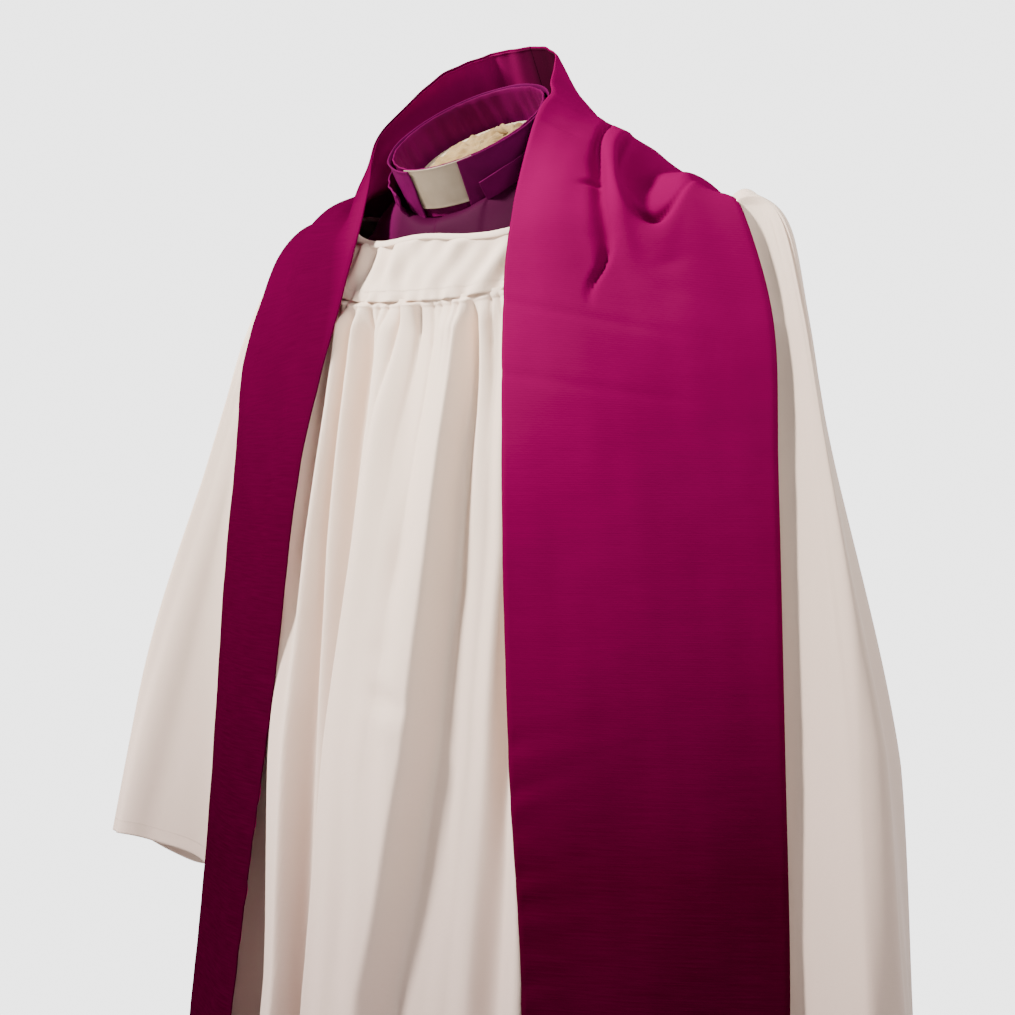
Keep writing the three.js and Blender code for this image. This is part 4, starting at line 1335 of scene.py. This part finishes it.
def make_cassock():
    """The purple garment under the surplice, with a placket down its front."""
    last = len(CASSOCK_RINGS) - 1
    for half, back in (("front", False), ("back", True)):
        rng = np.random.default_rng(14 + back)
        start = 0.0 if back else math.pi
        angles = np.linspace(start, start + math.pi, 260)
        levels = np.concatenate([np.linspace(0, 1, 40, endpoint=False), np.linspace(1, last, 60)])
        base = ring_grid(CASSOCK_RINGS, angles, levels)
        normals = grid_normals(base)
        x, z = base[..., 0], base[..., 2]
        lift = 0.0005 * surface_noise(x, z, 0.015, 0.05, 9, rng)
        pressed = smooth_step(1.6, 2.4, levels) * (1 - smooth_step(4.5, 5.2, levels))
        lift = lift - shoulder_dent(base) - 0.0045 * pressed[:, None]
        if not back:
            placket = smooth_step(-0.002, 0.0, x - 0.006) * (1 - smooth_step(0.045, 0.047, x))
            lift = lift + 0.0009 * placket
        points = base + normals * lift[..., None]
        obj = grid_object(f"clergy_{half}", points, from_hem_uv(points), PURPLE, False, 0.001, -1)
        finish_piece(obj, "form", "purple_cloth", f"cassock_{half}")


make_cassock()

# ---------------------------------------------------------------- the form


def make_torso():
    """The padded form, with its seams drawn in."""
    rng = np.random.default_rng(16)
    angles = np.linspace(0, 2 * math.pi, 240, endpoint=False)
    levels = np.linspace(0, len(FORM_RINGS) - 1, 150)
    base = ring_grid(FORM_RINGS, angles, levels)
    normals = grid_normals(base, True)
    lumps = 0.0012 * periodic_noise(angles, levels * 0.5, 3, 18, 9, rng, 1.2)
    seams = np.zeros(len(angles))
    for seam in np.radians([0, 48, 132, 180, 228, 312]):
        gap = np.abs((angles - seam + math.pi) % (2 * math.pi) - math.pi)
        seams += np.exp(-((gap / 0.018) ** 2))
    lift = lumps - 0.0022 * seams[None, :]
    lift = lift - shoulder_dent(base)
    ends = np.minimum(levels, levels[-1] - levels)[:, None]
    lift = lift - 0.008 * np.exp(-((ends / 0.06) ** 2))
    points = base + normals * lift[..., None]
    obj = grid_object("stuffed_torso", points, grid_uv(points), CALICO, True)
    close_ends(obj)
    finish_piece(obj, "form", "calico", "form_torso")


make_torso()


def make_neck():
    """A calico-covered neck, its board cap and the gathered muslin on top."""
    rng = np.random.default_rng(18)
    angles = np.linspace(0, 2 * math.pi, 200, endpoint=False)
    heights = np.linspace(-0.0305, -0.068, 30)
    a, h = np.meshgrid(angles, heights)
    wrinkle = 0.0008 * surface_noise(a * NECK_RADIUS, h, 0.012, 0.04, 9, rng)
    points = collar_place(a, NECK_RADIUS - 0.0005 + wrinkle, h)
    neck = grid_object("neck_stump", points, np.stack([a * NECK_RADIUS, h], -1), CALICO, True)
    close_ends(neck)
    finish_piece(neck, "form", "calico", "form_neck")
    bevel = NECK_RADIUS - 0.0007
    r = np.array([0.0002, bevel, NECK_RADIUS, NECK_RADIUS, bevel, 0.0002])[:, None]
    z = np.array([-0.0295, -0.0295, -0.0288, -0.0264, -0.0257, -0.0257])[:, None]
    wave = 0.0004 * np.sin(angles * 3 + 1)[None, :]
    points = collar_place(angles[None, :] + 0 * r, r + 0 * angles[None, :], z + wave * (r > 0.05))
    cap = grid_object("neck_board", points, grid_uv(points), CALICO, True)
    close_ends(cap)
    finish_piece(cap, "form", "calico", "neck_cap")
    make_muslin(rng)


def make_muslin(rng):
    """Muslin gathered in towards the middle of the neck's top."""
    angles = np.linspace(0, 2 * math.pi, 360, endpoint=False)
    shares = np.concatenate([np.linspace(0.01, 0.85, 60), np.linspace(0.87, 1, 14)])
    a, t = np.meshgrid(angles, shares)
    radius = 0.0465 * t
    x, y = radius * np.cos(a), radius * np.sin(a)
    dome = 0.0055 * np.sqrt(np.clip(1 - t**2.4, 0, 1))
    pleats = np.sin(a * 17 + 3 * np.sin(a * 3) + 4 * t) * 0.0009 + np.sin(a * 31 + 5 * t) * 0.0005
    crumple = 0.0010 * surface_noise(x, y, 0.006, 0.020, 14, rng)
    height = -0.0252 + dome + (pleats * t + crumple) * (1 - smooth_step(0.93, 1, t))
    edge = 0.0015 * np.sin(a * 13 + 2 * np.sin(4 * a)) * smooth_step(0.8, 1, t)
    points = collar_place(a, radius + edge, height)
    obj = grid_object("gathered_muslin", points, np.stack([x, y], -1), MUSLIN, True)
    close_ends(obj)
    finish_piece(obj, "form", "calico", "neck_gather")
    make_twist()


def make_twist():
    """A rope-like twist of muslin that lies across the top."""
    along = np.linspace(0, 1, 130)
    around = np.linspace(0, 2 * math.pi, 40, endpoint=False)
    v, w = np.meshgrid(along, around, indexing="ij")
    path_angle = math.radians(60) + math.radians(95) * v
    ends = np.sqrt(np.clip(1 - np.abs(2 * v - 1) ** 8, 0.001, 1))
    radius = 0.0034 * ends * (1 + 0.28 * np.cos(3 * w + 26 * v))
    ring = 0.030 + 0.006 * np.sin(5 * v)
    points = collar_place(path_angle, ring + radius * np.cos(w), -0.0150 + radius * np.sin(w))
    uv = np.stack([v * 0.05, w * 0.003], -1)
    twist = grid_object("muslin_twist", points, uv, MUSLIN, True)
    close_ends(twist)
    finish_piece(twist, "form", "calico", "neck_gather")


make_neck()

# ---------------------------------------------------------------- the stand


def lathe(name, profile, material, body, slot, node, axis_at=None, segments=128, lobes=None):
    """A turned piece. The profile is its (radius, height) points.

    lobes is how many a grip has, how deep they are, and the radius where they start. With
    axis_at the piece turns about a line along Y through that point.
    """
    angles = np.linspace(0, 2 * math.pi, segments, endpoint=False)
    r, h = (np.array(column)[:, None] for column in zip(*profile))
    if lobes:
        r = r * (1 + lobes[1] * np.cos(lobes[0] * angles)[None, :] * (r > lobes[2]))
    points = np.stack([r * np.cos(angles), r * np.sin(angles), h + 0 * angles], axis=-1)
    if axis_at is not None:
        points = points[..., [0, 2, 1]] + np.array(axis_at)
    obj = grid_object(name, points, grid_uv(points), material, True)
    weld(obj)
    finish_piece(obj, body, slot, node)


CORNER_SHARES = (0, 0.25, 0.5, 0.75, 1)


def rounded(points, radius):
    """The profile with its inner corners rounded."""
    result = [points[0]]
    for before, corner, after in zip(points, points[1:], points[2:]):
        corner_v, before_v, after_v = (np.array(p, float) for p in (corner, before, after))
        into = (before_v - corner_v) / np.linalg.norm(before_v - corner_v)
        out = (after_v - corner_v) / np.linalg.norm(after_v - corner_v)
        start, end = corner_v + into * radius, corner_v + out * radius
        for t in CORNER_SHARES:
            result.append(tuple((1 - t) ** 2 * start + 2 * t * (1 - t) * corner_v + t * t * end))
    result.append(points[-1])
    return result


def solid_profile(node, radius, bevel):
    """From the axis out, up and back to the axis."""
    low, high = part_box(node)
    return rounded([(0, low.z), (radius, low.z), (radius, high.z), (0, high.z)], bevel)


def closed_profile(loop, bevel):
    """A closed loop with every corner rounded, which ends where it starts."""
    corners = rounded([loop[-1], *loop, loop[0]], bevel)[1:-1]
    return [*corners, corners[0]]


def ring_profile(node, inner, outer, bevel):
    low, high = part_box(node)
    loop = [(inner, low.z), (outer, low.z), (outer, high.z), (inner, high.z)]
    return closed_profile(loop, bevel)


def half_width(node):
    low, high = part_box(node)
    return (high.x - low.x) / 2


def make_stand():
    for node, bevel, material, body, slot in (
        ("floor_pad", 0.001, RUBBER, "stand", "rubber"),
        ("pole_flange", 0.0015, PAINT, "mast", "black_steel"),
        ("inner_pole", 0.0015, CHROME, "mast", "chrome"),
        ("pole_spigot", 0.0015, CHROME, "mast", "chrome"),
    ):
        profile = solid_profile(node, half_width(node), bevel)
        lathe(f"{node}_turned", profile, material, body, slot, node)
    make_painted_stand()
    make_knob()
    make_wooden_base()


def make_painted_stand():
    """The round base with its boss, and the tube with its clamp."""
    low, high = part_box("base_plate")
    radius = half_width("base_plate")
    plate = [
        (0, low.z), (radius - 0.001, low.z), (radius, low.z + 0.004),
        (radius - 0.003, high.z), (radius - 0.02, high.z), (0, high.z),
    ]
    low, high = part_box("base_boss")
    boss = [
        (0.0164, low.z), (0.042, low.z), (0.042, low.z + 0.008), (0.0244, high.z),
        (0.0164, high.z),
    ]
    for name, profile, node, segments in (
        ("base_plate_turned", rounded(plate, 0.0012), "base_plate", 256),
        ("tube_turned", ring_profile("outer_tube", 0.0126, 0.016, 0.0008), "outer_tube", 128),
        ("clamp_turned", ring_profile("clamp_collar", 0.0164, 0.027, 0.002), "clamp_collar", 128),
        ("boss_turned", closed_profile(boss, 0.0016), "base_boss", 128),
    ):
        lathe(name, profile, PAINT, "stand", "black_steel", node, segments=segments)


def make_knob():
    """The clamp's knob: a stem and a six-lobed grip."""
    low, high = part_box("clamp_knob")
    length = high.y - low.y
    grip = [
        (0, 0), (0.006, 0), (0.006, 0.0184), (0.019, 0.0186), (0.0205, 0.023), (0.019, length),
        (0, length),
    ]
    place = (0, low.y, (low.z + high.z) / 2)
    lathe("knob_turned", rounded(grip, 0.001), KNOB, "clamp", "knob_plastic", "clamp_knob",
          axis_at=place, segments=144, lobes=(6, 0.09, 0.007))


def make_wooden_base():
    """The oval board under the torso, with a bore for the spigot."""
    low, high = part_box("form_base_cap")
    middle = (low + high) / 2
    half = (high - low) / 2
    angles = np.linspace(0, 2 * math.pi, 200, endpoint=False)
    bore = 0.010
    rows = []
    for share, height in rounded([(0, -1), (1, -1), (1, 1), (0, 1)], 0.02):
        x = (bore + (half.x - bore) * share) * np.cos(angles)
        y = (bore + (half.y - bore) * share) * np.sin(angles) + middle.y * share
        z = middle.z + half.z * np.clip(height, -1, 1) + 0 * angles
        rows.append(np.stack([x, y, z], -1))
    rows.append(rows[0])
    points = np.stack(rows)
    obj = grid_object("wooden_base", points, grid_uv(points), BEECH, True)
    weld(obj)
    finish_piece(obj, "form", "beech", "form_base_cap")


make_stand()

# ---------------------------------------------------------------- floor, light and camera


FLOOR_HALF = 2.6
SENSOR_WIDTH = 36
WALL_STRENGTH = 3.4


def make_floor():
    mesh = bpy.data.meshes.new("floor")
    corners = [(-1, -1, 0), (1, -1, 0), (1, 1, 0), (-1, 1, 0)]
    corners = [tuple(FLOOR_HALF * c for c in corner) for corner in corners]
    mesh.from_pydata(corners, [], [(0, 1, 2, 3)])
    m = Nodes("floor", (0.86, 0.86, 0.85), 0.9)
    shades = [(0.3, (0.85, 0.85, 0.84)), (0.7, (0.88, 0.88, 0.87))]
    m.color(m.ramp(m.noise(m.place(), 3, 2), shades))
    mesh.materials.append(m.material)
    floor = bpy.data.objects.new("floor", mesh)
    bpy.context.scene.collection.objects.link(floor)


def area_light(name, place, target, size, power, color):
    data = bpy.data.lights.new(name, "AREA")
    data.shape = "DISK"
    data.size = size
    data.energy = power
    data.color = color
    light = bpy.data.objects.new(name, data)
    light.location = place
    light.rotation_euler = (Vector(target) - Vector(place)).to_track_quat("-Z", "Y").to_euler()
    bpy.context.scene.collection.objects.link(light)


def make_lights():
    chest = (0, -0.1, 1.2)
    area_light("key", (-1.05, -1.65, 2.6), chest, 0.4, 215, (1.0, 0.95, 0.90))
    area_light("top", (0.6, 0.1, 3.0), chest, 0.8, 30, (1.0, 0.96, 0.92))
    area_light("fill", (2.3, -1.2, 2.1), chest, 0.9, 34, (1.0, 0.96, 0.92))
    area_light("back", (0.9, 2.3, 2.3), chest, 1.2, 50, (1.0, 0.97, 0.95))
    make_world()


def make_world():
    """A bright wall behind the part, and a dimmer pale room all round near the horizon."""
    world = bpy.data.worlds.new("studio")
    world.use_nodes = True
    tree = world.node_tree
    background = tree.nodes["Background"]
    direction = tree.nodes.new("ShaderNodeTexCoord").outputs["Generated"]
    away = (-math.sin(CAMERA_AZIMUTH), math.cos(CAMERA_AZIMUTH), 0)
    behind = world_math(tree, "DOT_PRODUCT", direction, away, "ShaderNodeVectorMath")
    split = tree.nodes.new("ShaderNodeSeparateXYZ")
    tree.links.new(direction, split.inputs["Vector"])
    below = world_math(tree, "MULTIPLY", split.outputs["Z"], -0.3)
    steep = world_math(tree, "MAXIMUM", split.outputs["Z"], below.outputs["Value"])
    wall = world_ramp(tree, behind.outputs["Value"], ((0.72, 0.16), (0.93, 1.0)))
    band = world_ramp(tree, steep.outputs["Value"], ((0.22, 1.0), (0.36, 0.05)))
    shade = world_math(tree, "MULTIPLY", wall, band)
    tree.links.new(shade.outputs["Value"], background.inputs["Color"])
    background.inputs["Strength"].default_value = WALL_STRENGTH
    bpy.context.scene.world = world


def world_math(tree, operation, a, b, kind="ShaderNodeMath"):
    """A math node fed by a socket, and by a second socket or a plain value."""
    made = tree.nodes.new(kind)
    made.operation = operation
    tree.links.new(a, made.inputs[0])
    if isinstance(b, bpy.types.NodeSocket):
        tree.links.new(b, made.inputs[1])
    else:
        made.inputs[1].default_value = b
    return made


def world_ramp(tree, fac, stops):
    """The colour of a grey ramp read at fac."""
    ramp = tree.nodes.new("ShaderNodeValToRGB")
    tree.links.new(fac, ramp.inputs["Fac"])
    for element, (position, value) in zip(ramp.color_ramp.elements, stops):
        element.position = position
        element.color = (value, value, value, 1)
    return ramp.outputs["Color"]


def make_camera():
    to_right = Vector((math.cos(CAMERA_AZIMUTH), math.sin(CAMERA_AZIMUTH), 0))
    to_object = Vector((-math.sin(CAMERA_AZIMUTH), math.cos(CAMERA_AZIMUTH), 0))
    place = -CAMERA_DISTANCE * to_object + Vector((0, 0, CAMERA_HEIGHT))
    aim = -AIM_LEFT * to_right + Vector((0, 0, AIM_HEIGHT))
    data = bpy.data.cameras.new("camera")
    data.lens = LENS
    data.sensor_width = SENSOR_WIDTH
    data.clip_start = 0.05
    camera = bpy.data.objects.new("camera", data)
    camera.location = place
    camera.rotation_euler = (aim - place).to_track_quat("-Z", "Y").to_euler()
    bpy.context.scene.collection.objects.link(camera)
    bpy.context.scene.camera = camera


make_floor()
make_lights()
make_camera()
